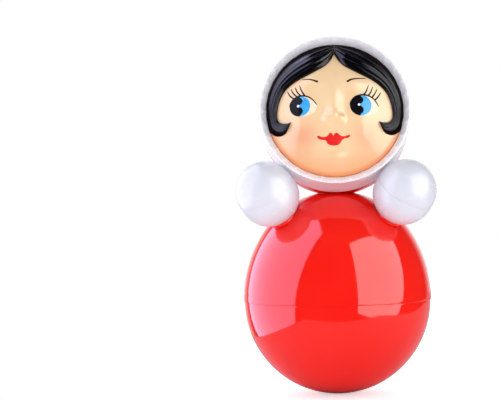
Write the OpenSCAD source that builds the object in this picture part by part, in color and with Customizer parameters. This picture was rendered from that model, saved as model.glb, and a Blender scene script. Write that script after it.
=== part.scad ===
// Weighted rocking doll with a chime in its belly.
// A ball body rights itself over a cast weight, a ball head wears a fluted bonnet
// round a moulded face, and two ball hands are pegged to the shoulders.
// The doll faces -Y and stands on the lowest spot of its body, at the origin.

/* [Body] */
// Radius of the lower half ball that the doll rocks on
lower_r = 54.5; // [50:0.5:58]
// Radius of the small flat that the moulding gate leaves at the lowest spot
rest_r = 4; // [2:0.5:6]
// Step out from the lower half to the upper half at the waist seam
seam_step = 0.5; // [0.2:0.1:1]
// Extra height of the upper half over a half ball
dome_rise = 9; // [5:0.5:11]
// How much tighter the crown's arc is than the body's radius
crown_drop = 4; // [2:0.25:5]
// Wall of both body halves
body_wall = 2.2; // [1.8:0.1:3]
// Height of the lip that joins the two halves
lap_h = 3; // [2:0.5:4]

/* [Neck] */
// Radius of the neck collar in the crown's socket
neck_r = 10.8; // [9:0.2:13]
// Height of the collar's side that shows between the crown and the head
neck_h = 0.2; // [0.2:0.1:1]
// Depth of the socket in the crown
neck_sink = 2.4; // [2:0.1:3]
// Radius of the neck bolt
neck_bolt_r = 2.5; // [2:0.1:3]

/* [Head] */
// Radius of the head ball as a share of the body's
head_share = 0.793; // [0.75:0.005:0.83]
// Wall of the back of the head
head_wall = 2; // [1.6:0.1:2.6]
// Upward tilt of the face in degrees
face_tilt = 13; // [5:1:18]
// Distance of the seam behind the bonnet's edge from the ball's centre
head_seam = 4.6; // [3:0.2:6]

/* [Bonnet] */
// How far the rear edge of the bonnet stands out past the back of the head
skirt_step = 0.5; // [0:0.1:1]
// How far the rolled front edge stands out past the head ball's radius
brim_out = 0.4; // [0:0.1:1]
// Distance of the front edge from the head ball's centre, as a share of its radius
brim_share = 0.636; // [0.6:0.004:0.68]
// Depth of the fluted funnel from the front edge to the face
brim_depth = 6; // [5:0.5:7]
// Wall of the bonnet
bonnet_wall = 2.2; // [1.8:0.1:2.6]
// Number of flutes round the funnel
flute_count = 32; // [24:1:40]
// Radius of the round cutter that hollows a flute
flute_r = 9; // [7:0.5:10]
// Depth of a flute
flute_depth = 0.6; // [0.3:0.1:0.8]

/* [Face] */
// How far the mask's rim lies inside the head ball's radius
mask_inset = 3.2; // [3:0.1:4]
// Height of the face's dome over its rim, as a share of the mask's radius
bulge_share = 0.375; // [0.25:0.005:0.45]
// Wall of the face mask
mask_wall = 1.8; // [1.4:0.1:2.4]
// Rise of the nose over the dome, as a share of the mask's radius
nose_share = 0.09; // [0.05:0.01:0.12]
// Rise of the moulded hair over the skin
hair_h = 1.2; // [0.5:0.1:1.6]
// Rise of a lock's middle over its edges, as a share of the lock's width
hair_roll = 0.1; // [0.04:0.01:0.14]

/* [Hands] */
// Radius of a hand ball as a share of the body's
hand_share = 0.321; // [0.28:0.003:0.34]
// Straight band between the two halves of a hand
hand_band = 3.2; // [1:0.2:5]
// Wall of a hand
hand_wall = 1.8; // [1.4:0.1:2.4]
// Height angle of a hand above the waist seam
hand_lift = 53; // [46:1:58]
// Angle of a hand forward from the doll's side
hand_turn = 34; // [26:1:38]
// Radius of the peg that holds a hand
peg_r = 3.5; // [2.5:0.1:4]

/* [Weight] */
// Height of the cast weight's top over the table
weight_top = 19; // [16:0.5:22]
// Radius of the circle of screw posts
post_pcd_r = 22; // [21:0.5:24]
// Radius of a screw post
post_r = 3.6; // [3:0.2:4]

/* [Chime] */
// Radius of the chime's base plate
plate_r = 30; // [29:0.5:32]
// Thickness of the base plate
plate_t = 2.5; // [2:0.1:4]
// Radius of a chime rod
rod_r = 1.75; // [1.5:0.05:2]
// Radius of the circle of chime rods
rod_pcd_r = 13; // [12.5:0.25:14]
// Length of the longest chime rod above the plate
rod_len = 32; // [29:0.5:34]
// Difference in length from one rod to the next
rod_step = 3; // [1:0.25:3]
// Height of the arch over the base plate
arch_h = 54; // [52:0.5:58]
// Width of the arch's strip
arch_w = 8; // [7:0.5:10]
// Thickness of the arch's strip
arch_t = 1.5; // [1:0.1:2]
// Distance of an arch leg from the middle
arch_x = 22; // [21:0.5:23]
// Radius of the striker's bob
bob_r = 6.5; // [5.5:0.1:6.8]
// Distance between the two pivots of the swing link
link_len = 10; // [9:0.5:12]
// Clearance of the bob over the base plate
bob_gap = 7; // [5:0.5:9]
// Radius of a pivot rivet
rivet_r = 1.2; // [1:0.1:1.4]

/* [Hidden] */
$fn = 96;
// Segments of an arc of which the outline uses a short stretch
long_arc_fn = 480;

// Colours
red = [0.93, 0.08, 0.05];
white = [0.95, 0.94, 0.95];
skin = [0.95, 0.78, 0.6];
iron = [0.3, 0.3, 0.32];
steel = [0.72, 0.73, 0.75];
brass = [0.8, 0.62, 0.28];

// Overrun of every cut past the face it opens
over = 1;
// Clearance between moulded pieces that are glued together
glue_gap = 0.1;
// Clearance between faces that rest on each other
seat_gap = 0.05;
// Clearance round a bolt or peg in its hole
hole_gap = 0.15;
// Radial clearance of a pivot rivet in the eye that turns on it
run_gap = 0.05;
// Side clearance of an eye between its two ears
side_gap = 0.3;
// Head of a bolt, screw or rivet and size of a nut, as shares of the shank's radius
head_width_share = 2;
head_height_share = 1.2;
nut_width_share = 1.8;
nut_height_share = 1.6;

// Body: the upper half is a three-centred oval, a side arc that is upright at the
// seam and a crown arc centred on the axis, tangent to each other
seam_z = sqrt(lower_r * lower_r - rest_r * rest_r);
dome_r = lower_r + seam_step;
dome_h = dome_r + dome_rise;
crown_r = dome_r - crown_drop;
crown_c = dome_h - crown_r;
side_r = (dome_r * dome_r + crown_c * crown_c - crown_r * crown_r) / (2 * crown_drop);
side_c = side_r - dome_r;
join_angle = atan2(crown_c, side_c);
join_lift = atan2(crown_c + crown_r * sin(join_angle), crown_r * cos(join_angle));
lap_wall = body_wall / 2;
lap_out_r = dome_r - lap_wall - glue_gap;
lap_in_r = lower_r - body_wall;

// Neck and head ball
head_r = head_share * lower_r;
neck_land = 0.6;
neck_seat_r = neck_r + neck_land;
neck_seat_z = seam_z + crown_c + sqrt(crown_r * crown_r - neck_seat_r * neck_seat_r);
neck_floor_z = neck_seat_z - neck_sink;
socket_r = neck_r + glue_gap;
socket_out_r = neck_seat_r + body_wall;
bolt_head_r = head_width_share * neck_bolt_r;
bolt_head_h = head_height_share * neck_bolt_r;
nut_r = nut_width_share * neck_bolt_r;
nut_t = nut_height_share * neck_bolt_r;
crown_pad_t = 4;
head_pad_t = 5;
head_pad_r = neck_r - neck_land;
head_z = neck_seat_z + neck_h + sqrt(head_r * head_r - neck_r * neck_r);
head_floor_z = head_z - head_r + head_pad_t;
bolt_end = 1;

// Head and bonnet, in a frame whose Z runs out through the face
brim_r = head_r + brim_out;
brim_z = brim_share * head_r;
mask_r = head_r - mask_inset;
seam_r = sqrt(head_r * head_r - head_seam * head_seam);
skirt_r = seam_r + skirt_step;
bonnet_in_r = seam_r - bonnet_wall;
lip_out_r = bonnet_in_r - glue_gap;
lip_t = 1.5;
lip_root = 3;
roll_r = 1;
roll_bite_share = 0.7;
roll_c_r = brim_r - roll_r;
roll_c_z = brim_z - roll_r;
mask_z = brim_z - brim_depth;
mask_rim = mask_wall;
ledge_z = mask_z - mask_rim - seat_gap;
ledge_t = 2;
ledge_w = 3;
funnel_r = mask_r + glue_gap;
funnel_top_r = roll_c_r - roll_bite_share * roll_r;
funnel_angle = atan2(funnel_top_r - funnel_r, roll_c_z - mask_z);
flute_len = brim_depth + 2 * over;
waist_dip = 0.9;
waist_span = brim_z - head_seam;
waist_r = (waist_span * waist_span / 4 + waist_dip * waist_dip) / (2 * waist_dip);

mask_bulge = bulge_share * mask_r;
nose_h = nose_share * mask_r;
// Face dome: a cap inside a steeper shoulder that falls to the rim
mask_spokes = 144;
back_rings = 4;
dome_power = 2.4;
shoulder_share = 0.968;
shoulder_rise = 0.16;
// Rings from the middle to the hair's edge, from there to the shoulder, and on to the rim
skin_rings = 16;
hair_rings = 5;
shoulder_rings = 2;
mask_rings = skin_rings + 1 + hair_rings + shoulder_rings;
// Face relief: places and spreads are shares of the mask's radius,
// each row [x, y, spread x, spread y, rise over the nose's]
bump_shares = [
    [-0.015, -0.175, 0.085, 0.1, 0.72],
    [-0.015, 0.05, 0.09, 0.225, 0.28],
    [-0.123, -0.21, 0.055, 0.055, 0.48],
    [0.093, -0.21, 0.055, 0.055, 0.48],
    [-0.015, -0.325, 0.075, 0.06, -0.14],
    [-0.023, -0.455, 0.163, 0.055, 0.28],
    [-0.023, -0.545, 0.125, 0.055, 0.3],
    [-0.023, -0.635, 0.15, 0.045, -0.14],
    [-0.023, -0.74, 0.16, 0.11, 0.58],
    [-0.45, -0.375, 0.225, 0.213, 0.5],
    [0.425, -0.375, 0.225, 0.213, 0.5],
    [-0.225, 0.013, 0.1, 0.15, -0.22],
    [0.19, 0.013, 0.1, 0.15, -0.22],
    [-0.463, 0, 0.175, 0.15, 0.4],
    [0.4, 0, 0.175, 0.15, 0.4],
    [-0.325, 0.325, 0.2, 0.075, 0.11],
    [0.288, 0.325, 0.2, 0.075, 0.11]
];
// Inner edge of the hair: [degrees from the parting, share of the mask's radius]
hair_shares = [
    [0, 0.8], [4, 0.7], [11, 0.626], [21, 0.59], [34, 0.588], [45, 0.615], [55, 0.662], [63, 0.71],
    [71, 0.754], [79, 0.782], [86, 0.8], [93, 0.818], [98, 0.828], [103, 0.82], [106, 0.785],
    [108, 0.735], [109.7, 0.66], [113.3, 0.683], [116.3, 0.727], [118.4, 0.782], [120, 0.86], [180, 0.86]
];
// Angle at which the hair's curl ends on the cheek
hair_end = 119;
hair_edge_share = 0.035;

// Hands, in a frame whose Z runs out of the shoulder
hand_r = hand_share * lower_r;
hand_flat_r = 7.4;
shoulder_h = 0.4;
shoulder_land = 0.4;
hand_lip_t = 1.2;
hand_lip_h = 2.5;
hand_lip_root = 2;
shoulder_boss_h = 2.5;
shoulder_boss_wall = 2.5;
shoulder_boss_r = peg_r + shoulder_boss_wall;
retainer_w = 3;
retainer_r = peg_r + retainer_w;
retainer_t = 1.4;
peg_end = 1.6;
peg_root_t = 2;
dome_reach = hand_lift < join_lift
    ? sqrt(side_r * side_r - pow(side_c * sin(hand_lift), 2)) - side_c * cos(hand_lift)
    : sqrt(crown_r * crown_r - pow(crown_c * cos(hand_lift), 2)) + crown_c * sin(hand_lift);
shoulder_seat = dome_reach + shoulder_h;
shoulder_inner = dome_reach - body_wall - shoulder_boss_h;
hand_foot = hand_band / 2 + sqrt(hand_r * hand_r - hand_flat_r * hand_flat_r);
hand_place = shoulder_seat + seat_gap + hand_foot;
hand_in_r = hand_r - hand_wall;
hand_lip_r = hand_in_r - glue_gap;

// Weight and its screws
bowl_r = lower_r - body_wall;
weight_r = bowl_r - seat_gap;
post_gap = 0.4;
post_drop = 0.5;
screw_r = 1.45;
pilot_r = screw_r + run_gap;
screw_head_r = head_width_share * screw_r;
screw_head_h = head_height_share * screw_r;
screw_len = 9;
post_first = 90;
post_count = 3;

// Chime
plate_z = weight_top + seat_gap;
plate_top = plate_z + plate_t;
rod_count = 4;
arch_top = plate_top + arch_h;
arch_foot = 7;
arch_rivet_r = 1.3;
arch_rivet_head_r = head_width_share * arch_rivet_r;
arch_rivet_head_h = 1;
eye_r = 3;
eye_w = 2.6;
ear_t = 1.5;
ear_w = 2 * eye_r;
pivot_drop = 5;
hanger_z = arch_top - arch_t - pivot_drop;
pivot_z = hanger_z - link_len;
bob_z = plate_top + bob_gap + bob_r;
striker_len = pivot_z - bob_z;
stem_r = 1.3;
fork_gap = 0.9;
fork_drop = eye_r + fork_gap;
rivet_cap = 0.5;

// Places
module at_head() {
    translate([0, 0, head_z]) rotate([90 - face_tilt, 0, 0]) children();
}

module at_shoulder(side) {
    translate([0, 0, seam_z])
        rotate([0, 0, side > 0 ? -hand_turn : 180 + hand_turn])
            rotate([0, 90 - hand_lift, 0])
                children();
}

module at_posts() {
    for (i = [0 : post_count - 1])
        rotate([0, 0, post_first + i * 360 / post_count])
            translate([post_pcd_r, 0, 0])
                children();
}

// Half outline of the upper body, drawn in by an inset from its outer skin
module dome_outline(inset) {
    join_h = crown_c + (crown_r - inset) * sin(join_angle);
    intersection() {
        translate([-side_c, 0]) circle(r = side_r - inset);
        square([dome_r, join_h]);
    }
    intersection() {
        translate([0, crown_c]) circle(r = crown_r - inset);
        translate([0, join_h]) square([dome_r, dome_h]);
    }
}

// Body
module lower_profile() {
    intersection() {
        difference() {
            circle(r = lower_r);
            circle(r = bowl_r);
        }
        translate([0, -seam_z]) square([lower_r, seam_z]);
    }
    translate([lap_in_r, -lap_h]) square([body_wall / 2, lap_h]);
    translate([lap_in_r, 0]) square([lap_out_r - lap_in_r, lap_h - glue_gap]);
}

module lower_body_shell() {
    color(red) {
        difference() {
            union() {
                translate([0, 0, seam_z]) rotate_extrude() lower_profile();
                intersection() {
                    translate([0, 0, seam_z]) sphere(r = (lower_r + bowl_r) / 2);
                    at_posts() cylinder(r = post_r, h = weight_top - post_drop);
                }
            }
            at_posts()
                translate([0, 0, weight_top - screw_len])
                    cylinder(r = pilot_r, h = screw_len + over);
        }
    }
}

module upper_profile() {
    difference() {
        union() {
            difference() {
                dome_outline(0);
                dome_outline(body_wall);
            }
            translate([0, neck_floor_z - seam_z - crown_pad_t])
                square([socket_out_r, crown_pad_t + neck_sink - body_wall / 2]);
        }
        square([dome_r - lap_wall, lap_h]);
        translate([0, neck_seat_z - seam_z]) square([dome_r, dome_h]);
        translate([0, neck_floor_z - seam_z]) square([socket_r, neck_sink + over]);
    }
}

module upper_body_shell() {
    color(red) {
        difference() {
            union() {
                translate([0, 0, seam_z]) rotate_extrude() upper_profile();
                for (side = [-1, 1])
                    at_shoulder(side) {
                        translate([0, 0, shoulder_inner])
                            cylinder(r = shoulder_boss_r, h = shoulder_boss_h + body_wall / 2);
                        translate([0, 0, dome_reach - body_wall / 2])
                            cylinder(r = hand_flat_r + shoulder_land, h = shoulder_h + body_wall / 2);
                    }
            }
            translate([0, 0, neck_floor_z - crown_pad_t - over])
                cylinder(r = neck_bolt_r + hole_gap, h = crown_pad_t + 2 * over);
            for (side = [-1, 1])
                at_shoulder(side)
                    translate([0, 0, shoulder_inner - over])
                        cylinder(r = peg_r + hole_gap, h = shoulder_seat - shoulder_inner + 2 * over);
        }
    }
}

// Weight and chime
module ballast_weight() {
    color(iron) {
        difference() {
            intersection() {
                translate([0, 0, seam_z]) sphere(r = weight_r);
                cylinder(r = lower_r, h = weight_top);
            }
            at_posts() cylinder(r = post_r + post_gap, h = weight_top + over);
        }
    }
}

module chime_base() {
    color(steel) {
        difference() {
            translate([0, 0, plate_z]) cylinder(r = plate_r, h = plate_t);
            at_posts()
                translate([0, 0, plate_z - over])
                    cylinder(r = screw_r + hole_gap, h = plate_t + 2 * over);
            for (i = [1 : rod_count])
                at_rod(i)
                    translate([0, 0, plate_z - over])
                        cylinder(r = rod_r + seat_gap, h = plate_t + 2 * over);
            for (side = [-1, 1])
                at_foot(side)
                    translate([0, 0, plate_z - over])
                        cylinder(r = arch_rivet_r + seat_gap, h = plate_t + 2 * over);
        }
    }
}

module base_screws() {
    color(steel) {
        at_posts() {
            translate([0, 0, plate_top + seat_gap]) cylinder(r = screw_head_r, h = screw_head_h);
            translate([0, 0, weight_top - screw_len + seat_gap])
                cylinder(r = screw_r, h = screw_len + plate_t + seat_gap + screw_head_h / 2);
        }
    }
}

module at_rod(i) {
    rotate([0, 0, (i - 1) * 360 / rod_count]) translate([rod_pcd_r, 0, 0]) children();
}

module at_foot(side) {
    translate([side * (arch_x + arch_foot / 2), 0, 0]) children();
}

module chime_rod(i) {
    color(steel)
        at_rod(i)
            translate([0, 0, plate_z])
                cylinder(r = rod_r, h = plate_t + rod_len - (i - 1) * rod_step);
}

module arch_side() {
    foot_z = plate_top + seat_gap;
    translate([arch_x - arch_t, -arch_w / 2, foot_z]) cube([arch_t, arch_w, arch_top - foot_z]);
    translate([arch_x - arch_t, -arch_w / 2, foot_z]) cube([arch_t + arch_foot, arch_w, arch_t]);
    translate([eye_w / 2 + side_gap, -ear_w / 2, hanger_z])
        cube([ear_t, ear_w, arch_top - arch_t / 2 - hanger_z]);
    translate([eye_w / 2 + side_gap, 0, hanger_z]) rotate([0, 90, 0]) cylinder(r = ear_w / 2, h = ear_t);
}

module chime_arch() {
    color(steel) {
        difference() {
            union() {
                arch_side();
                mirror([1, 0, 0]) arch_side();
                translate([-arch_x, -arch_w / 2, arch_top - arch_t]) cube([2 * arch_x, arch_w, arch_t]);
            }
            translate([-arch_x / 2, 0, hanger_z])
                rotate([0, 90, 0])
                    cylinder(r = rivet_r + seat_gap, h = arch_x);
            for (side = [-1, 1])
                at_foot(side)
                    translate([0, 0, plate_top])
                        cylinder(r = arch_rivet_r + seat_gap, h = arch_t + over);
        }
    }
}

module arch_rivets() {
    color(steel)
        for (side = [-1, 1])
            at_foot(side) {
                translate([0, 0, plate_z])
                    cylinder(r = arch_rivet_r, h = plate_t + arch_t + arch_rivet_head_h);
                translate([0, 0, plate_top + arch_t + 2 * seat_gap])
                    cylinder(r = arch_rivet_head_r, h = arch_rivet_head_h);
            }
}

// A rivet along X through two ears and the eye between them, with a small cap at each end
module pivot_rivet() {
    ear_span = eye_w / 2 + side_gap + ear_t + seat_gap;
    rotate([0, 90, 0]) {
        translate([0, 0, -ear_span]) cylinder(r = rivet_r, h = 2 * ear_span);
        for (end = [-1, 1])
            translate([0, 0, end * (ear_span + rivet_cap / 2)])
                cylinder(r = rivet_r + rivet_cap, h = rivet_cap, center = true);
    }
}

module hanger_rivet() {
    color(brass) translate([0, 0, hanger_z]) pivot_rivet();
}

module striker_rivet() {
    color(brass) translate([0, 0, pivot_z]) rotate([0, 0, 90]) pivot_rivet();
}

// An eye along X, round which the next piece turns
module eye() {
    rotate([0, 90, 0]) cylinder(r = eye_r, h = eye_w, center = true);
}

module eye_bore() {
    rotate([0, 90, 0]) cylinder(r = rivet_r + run_gap, h = eye_w + 2 * over, center = true);
}

module swing_link() {
    color(brass) {
        difference() {
            union() {
                translate([0, 0, hanger_z]) eye();
                translate([0, 0, pivot_z]) rotate([0, 0, 90]) eye();
                translate([0, 0, pivot_z]) cylinder(r = stem_r, h = link_len);
            }
            translate([0, 0, hanger_z]) eye_bore();
            translate([0, 0, pivot_z]) rotate([0, 0, 90]) eye_bore();
        }
    }
}

module striker() {
    ear_y = eye_w / 2 + side_gap;
    fork_h = fork_drop + ear_t;
    color(brass) {
        difference() {
            union() {
                for (side = [0, 1])
                    mirror([0, side, 0]) {
                        translate([-eye_r, ear_y, pivot_z - fork_h]) cube([ear_w, ear_t, fork_h]);
                        translate([0, ear_y, pivot_z])
                            rotate([-90, 0, 0])
                                cylinder(r = eye_r, h = ear_t);
                    }
                translate([-eye_r, -ear_y - ear_t / 2, pivot_z - fork_h])
                    cube([ear_w, 2 * ear_y + ear_t, ear_t]);
                translate([0, 0, bob_z]) cylinder(r = stem_r, h = striker_len - fork_drop - ear_t / 2);
                translate([0, 0, bob_z]) sphere(r = bob_r);
            }
            translate([0, 0, pivot_z])
                rotate([90, 0, 0])
                    cylinder(r = rivet_r + seat_gap, h = 2 * (ear_y + ear_t + over), center = true);
        }
    }
}

// Neck
module neck_collar() {
    foot_z = neck_floor_z + seat_gap;
    top_z = neck_seat_z + neck_h;
    hole_r = neck_bolt_r + hole_gap;
    color(red)
        rotate_extrude()
            difference() {
                translate([hole_r, foot_z]) square([neck_r - hole_r, top_z - foot_z]);
                translate([0, head_z]) circle(r = head_r + seat_gap, $fn = long_arc_fn);
            }
}

module neck_bolt() {
    seat = neck_floor_z - crown_pad_t - seat_gap;
    color(steel) {
        translate([0, 0, seat - bolt_head_h]) cylinder(r = bolt_head_r, h = bolt_head_h);
        translate([0, 0, seat - bolt_head_h / 2])
            cylinder(r = neck_bolt_r, h = head_floor_z + nut_t + bolt_end - seat + bolt_head_h / 2);
    }
}

module neck_nut() {
    color(steel)
        translate([0, 0, head_floor_z + seat_gap])
            difference() {
                cylinder(r = nut_r, h = nut_t, $fn = 6);
                translate([0, 0, -over]) cylinder(r = neck_bolt_r + seat_gap, h = nut_t + 2 * over);
            }
}

// Head
module back_profile() {
    intersection() {
        difference() {
            circle(r = head_r);
            circle(r = head_r - head_wall);
        }
        translate([0, -head_r]) square([head_r, head_r + head_seam]);
    }
    translate([lip_out_r - lip_t, head_seam - lip_root])
        square([seam_r - head_wall / 2 - lip_out_r + lip_t, lip_root]);
    translate([lip_out_r - lip_t, head_seam - lip_root]) square([lip_t, lip_root + lap_h]);
}

module head_back_shell() {
    color(red) {
        difference() {
            union() {
                at_head() rotate_extrude() back_profile();
                intersection() {
                    translate([0, 0, head_z]) sphere(r = head_r - head_wall / 2);
                    translate([0, 0, head_z - head_r]) cylinder(r = head_pad_r, h = head_pad_t);
                }
            }
            translate([0, 0, head_z - head_r - over])
                cylinder(r = neck_bolt_r + hole_gap, h = head_pad_t + 2 * over);
        }
    }
}

module bonnet_profile() {
    difference() {
        union() {
            translate([bonnet_in_r, head_seam + seat_gap])
                square([skirt_r - bonnet_in_r, roll_c_z - head_seam - seat_gap]);
            translate([funnel_r - ledge_w, ledge_z - ledge_t])
                square([skirt_r - waist_dip - funnel_r + ledge_w, roll_c_z - ledge_z + ledge_t]);
        }
        translate([skirt_r - waist_dip + waist_r, head_seam + waist_span / 2])
            circle(r = waist_r, $fn = long_arc_fn);
        polygon([
            [0, ledge_z], [funnel_r, ledge_z], [funnel_r, mask_z],
            [funnel_top_r, roll_c_z], [funnel_top_r, brim_z], [0, brim_z]
        ]);
    }
    translate([roll_c_r, roll_c_z]) circle(r = roll_r);
}

module bonnet_ring() {
    color(white)
        at_head()
            difference() {
                rotate_extrude() bonnet_profile();
                for (i = [0 : flute_count - 1])
                    rotate([0, 0, (i + 1 / 2) * 360 / flute_count])
                        translate([(funnel_r + funnel_top_r) / 2, 0, (mask_z + roll_c_z) / 2])
                            rotate([0, funnel_angle, 0])
                                translate([flute_depth - flute_r, 0, 0])
                                    cylinder(r = flute_r, h = flute_len, center = true);
            }
}

// Face mask, worked out over rings and spokes from its middle to its rim
function dome_height(s) =
    s > shoulder_share
        ? mask_bulge * shoulder_rise * (1 - s) / (1 - shoulder_share)
        : mask_bulge * (1 - (1 - shoulder_rise) * pow(s / shoulder_share, dome_power));
function bump(x, y, b) =
    nose_h * b[4] * exp(-pow((x - b[0]) / b[2], 2) - pow((y - b[1]) / b[3], 2));
function relief(x, y) = let (rises = [for (b = bump_shares) bump(x, y, b)]) rises * [for (r = rises) 1];
function hair_edge(a) = lookup(a > 180 ? 360 - a : a, hair_shares);
function has_hair(a) = min(a, 360 - a) < hair_end;
function ring_share(i, a) =
    let (edge = hair_edge(a), top = edge + hair_edge_share, over_hair = i - skin_rings - 1)
    i <= skin_rings ? edge * i / skin_rings
    : over_hair <= hair_rings ? top + (shoulder_share - top) * over_hair / hair_rings
    : shoulder_share + (1 - shoulder_share) * (over_hair - hair_rings) / shoulder_rings;
function hair_rise(s, a) =
    let (top = hair_edge(a) + hair_edge_share, width = shoulder_share - top)
    hair_h + mask_r * hair_roll * width * sin(180 * max(0, min(1, (s - top) / width)));
function face_point(i, a) =
    let (
        s = ring_share(i, a),
        x = s * sin(a),
        y = s * cos(a),
        fade = min(1, (1 - s) / (1 - shoulder_share)),
        hair = has_hair(a) && i > skin_rings ? hair_rise(s, a) : 0
    )
    [mask_r * x, mask_r * y, dome_height(s) + fade * (relief(x, y) + hair)];
function back_point(s, a) =
    let (r = (mask_r - mask_wall) * s)
    [r * sin(a), r * cos(a), s < 1 ? dome_height(s) - mask_wall : -mask_rim];

module face_mask() {
    steps = [for (k = [0 : mask_spokes - 1]) k * 360 / mask_spokes];
    front = [for (i = [1 : mask_rings], a = steps) face_point(i, a)];
    rim = [for (a = steps) [mask_r * sin(a), mask_r * cos(a), -mask_rim]];
    back = [for (i = [back_rings : -1 : 1], a = steps) back_point(i / back_rings, a)];
    rows = mask_rings + 1 + back_rings;
    tip = rows * mask_spokes;
    points = concat(front, rim, back, [face_point(0, 0)], [back_point(0, 0)]);
    next = [for (k = [0 : mask_spokes - 1]) (k + 1) % mask_spokes];
    sides = [
        for (i = [0 : rows - 2], k = [0 : mask_spokes - 1], half = [0, 1])
            let (a = i * mask_spokes, b = a + mask_spokes)
            half == 0 ? [a + k, b + next[k], b + k] : [a + k, a + next[k], b + next[k]]
    ];
    last = (rows - 1) * mask_spokes;
    tips = [for (k = [0 : mask_spokes - 1]) [tip, next[k], k]];
    hollows = [for (k = [0 : mask_spokes - 1]) [tip + 1, last + k, last + next[k]]];
    color(skin) at_head() translate([0, 0, mask_z]) polyhedron(points, concat(sides, tips, hollows));
}

// Hands
module hand_outline(r) {
    square([r, hand_band / 2]);
    intersection() {
        translate([0, hand_band / 2]) circle(r = r);
        translate([0, hand_band / 2]) square([r, r]);
    }
}

module hand_half() {
    rotate_extrude()
        difference() {
            hand_outline(hand_r);
            hand_outline(hand_in_r);
        }
}

module hand_outer(side) {
    color(white)
        at_shoulder(side)
            translate([0, 0, hand_place + seat_gap])
                hand_half();
}

module hand_inner(side) {
    peg_top = hand_in_r + hand_band / 2 - peg_root_t;
    color(white)
        at_shoulder(side)
            translate([0, 0, hand_place])
                union() {
                    difference() {
                        mirror([0, 0, 1]) hand_half();
                        translate([0, 0, -hand_foot - hand_r]) cylinder(r = hand_r, h = hand_r);
                    }
                    rotate_extrude() {
                        translate([hand_lip_r - hand_lip_t, -hand_lip_root])
                            square([hand_wall / 2 + hand_lip_t + glue_gap, hand_lip_root]);
                        translate([hand_lip_r - hand_lip_t, -hand_lip_root])
                            square([hand_lip_t, hand_lip_root + hand_lip_h]);
                    }
                    translate([0, 0, shoulder_inner - retainer_t - peg_end - hand_place])
                        cylinder(r = peg_r, h = hand_place - shoulder_inner + retainer_t + peg_end - peg_top);
                    translate([0, 0, -hand_foot]) cylinder(r = hand_flat_r, h = hand_foot - peg_top);
                }
}

module hand_retainer(side) {
    color(steel)
        at_shoulder(side)
            translate([0, 0, shoulder_inner - retainer_t - seat_gap])
                difference() {
                    cylinder(r = retainer_r, h = retainer_t);
                    translate([0, 0, -over]) cylinder(r = peg_r + seat_gap, h = retainer_t + 2 * over);
                }
}

lower_body_shell();
upper_body_shell();
ballast_weight();
chime_base();
base_screws();
chime_rod(1);  // chime_rod_1
chime_rod(2);  // chime_rod_2
chime_rod(3);  // chime_rod_3
chime_rod(4);  // chime_rod_4
chime_arch();
arch_rivets();
hanger_rivet();
swing_link();
striker_rivet();
striker();
neck_collar();
neck_bolt();
neck_nut();
head_back_shell();
bonnet_ring();
face_mask();
hand_inner(-1);  // hand_left_inner
hand_outer(-1);  // hand_left_outer
hand_retainer(-1);  // hand_left_retainer
hand_inner(1);  // hand_right_inner
hand_outer(1);  // hand_right_outer
hand_retainer(1);  // hand_right_retainer
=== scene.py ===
"""Dressed model of a weighted rocking doll.

Glossy moulded shells, a fluted bonnet, a moulded and painted face, ball hands and the chime
inside, under plain soft studio light. Sizes are in millimetres until a piece is set down.
"""

import logging
import math
from dataclasses import dataclass, field
from enum import Enum
from typing import Callable, Sequence

import bmesh
import bpy
from mathutils import Matrix, Quaternion, Vector


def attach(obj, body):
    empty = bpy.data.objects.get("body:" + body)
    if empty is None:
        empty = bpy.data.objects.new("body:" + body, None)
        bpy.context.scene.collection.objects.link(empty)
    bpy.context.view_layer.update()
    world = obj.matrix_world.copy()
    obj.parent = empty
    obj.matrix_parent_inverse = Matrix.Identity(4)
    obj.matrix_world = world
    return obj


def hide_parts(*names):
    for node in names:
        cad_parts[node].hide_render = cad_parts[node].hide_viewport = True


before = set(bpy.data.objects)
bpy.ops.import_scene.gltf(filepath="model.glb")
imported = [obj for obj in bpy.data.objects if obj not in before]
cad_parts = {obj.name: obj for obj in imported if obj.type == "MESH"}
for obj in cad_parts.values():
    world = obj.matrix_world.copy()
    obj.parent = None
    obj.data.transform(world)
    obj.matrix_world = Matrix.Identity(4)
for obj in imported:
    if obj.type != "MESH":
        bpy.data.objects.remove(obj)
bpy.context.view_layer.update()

LOG = logging.getLogger("doll")
MM = 0.001

Colour = tuple[float, float, float, float]
Triple = tuple[float, float, float]
Pair = tuple[float, float]
Point = Pair
Edge = Callable[[float], Vector]
Material = bpy.types.Material
Node = bpy.types.Node
Piece = bpy.types.Object
Socket = bpy.types.NodeSocket


class Slot(Enum):
    """The record's material slots of the pieces made here."""

    RED = "red_plastic"
    WHITE = "white_plastic"
    FACE = "face_paint"


class Side(Enum):
    """The two sides of the doll, as the viewer sees them."""

    LEFT = -1
    RIGHT = 1


def srgb(red: int, green: int, blue: int) -> Colour:
    """Turns a screen colour into the linear colour that a shader takes.

    Args:
        red: Red from 0 to 255.
        green: Green from 0 to 255.
        blue: Blue from 0 to 255.

    Returns:
        The linear colour with full opacity.
    """

    def linear(level: int) -> float:
        """Linear share of one channel."""
        share = level / 255
        return share / 12.92 if share <= 0.04045 else ((share + 0.055) / 1.055) ** 2.4

    return (linear(red), linear(green), linear(blue), 1.0)


def eased(low: float, high: float, value: float) -> float:
    """Smooth step from 0 at low to 1 at high.

    Args:
        low: Value below which the result is 0.
        high: Value above which the result is 1.
        value: Value to place between the two.

    Returns:
        The eased share.
    """
    share = min(max((value - low) / (high - low), 0.0), 1.0)
    return share * share * (3 - 2 * share)


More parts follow.
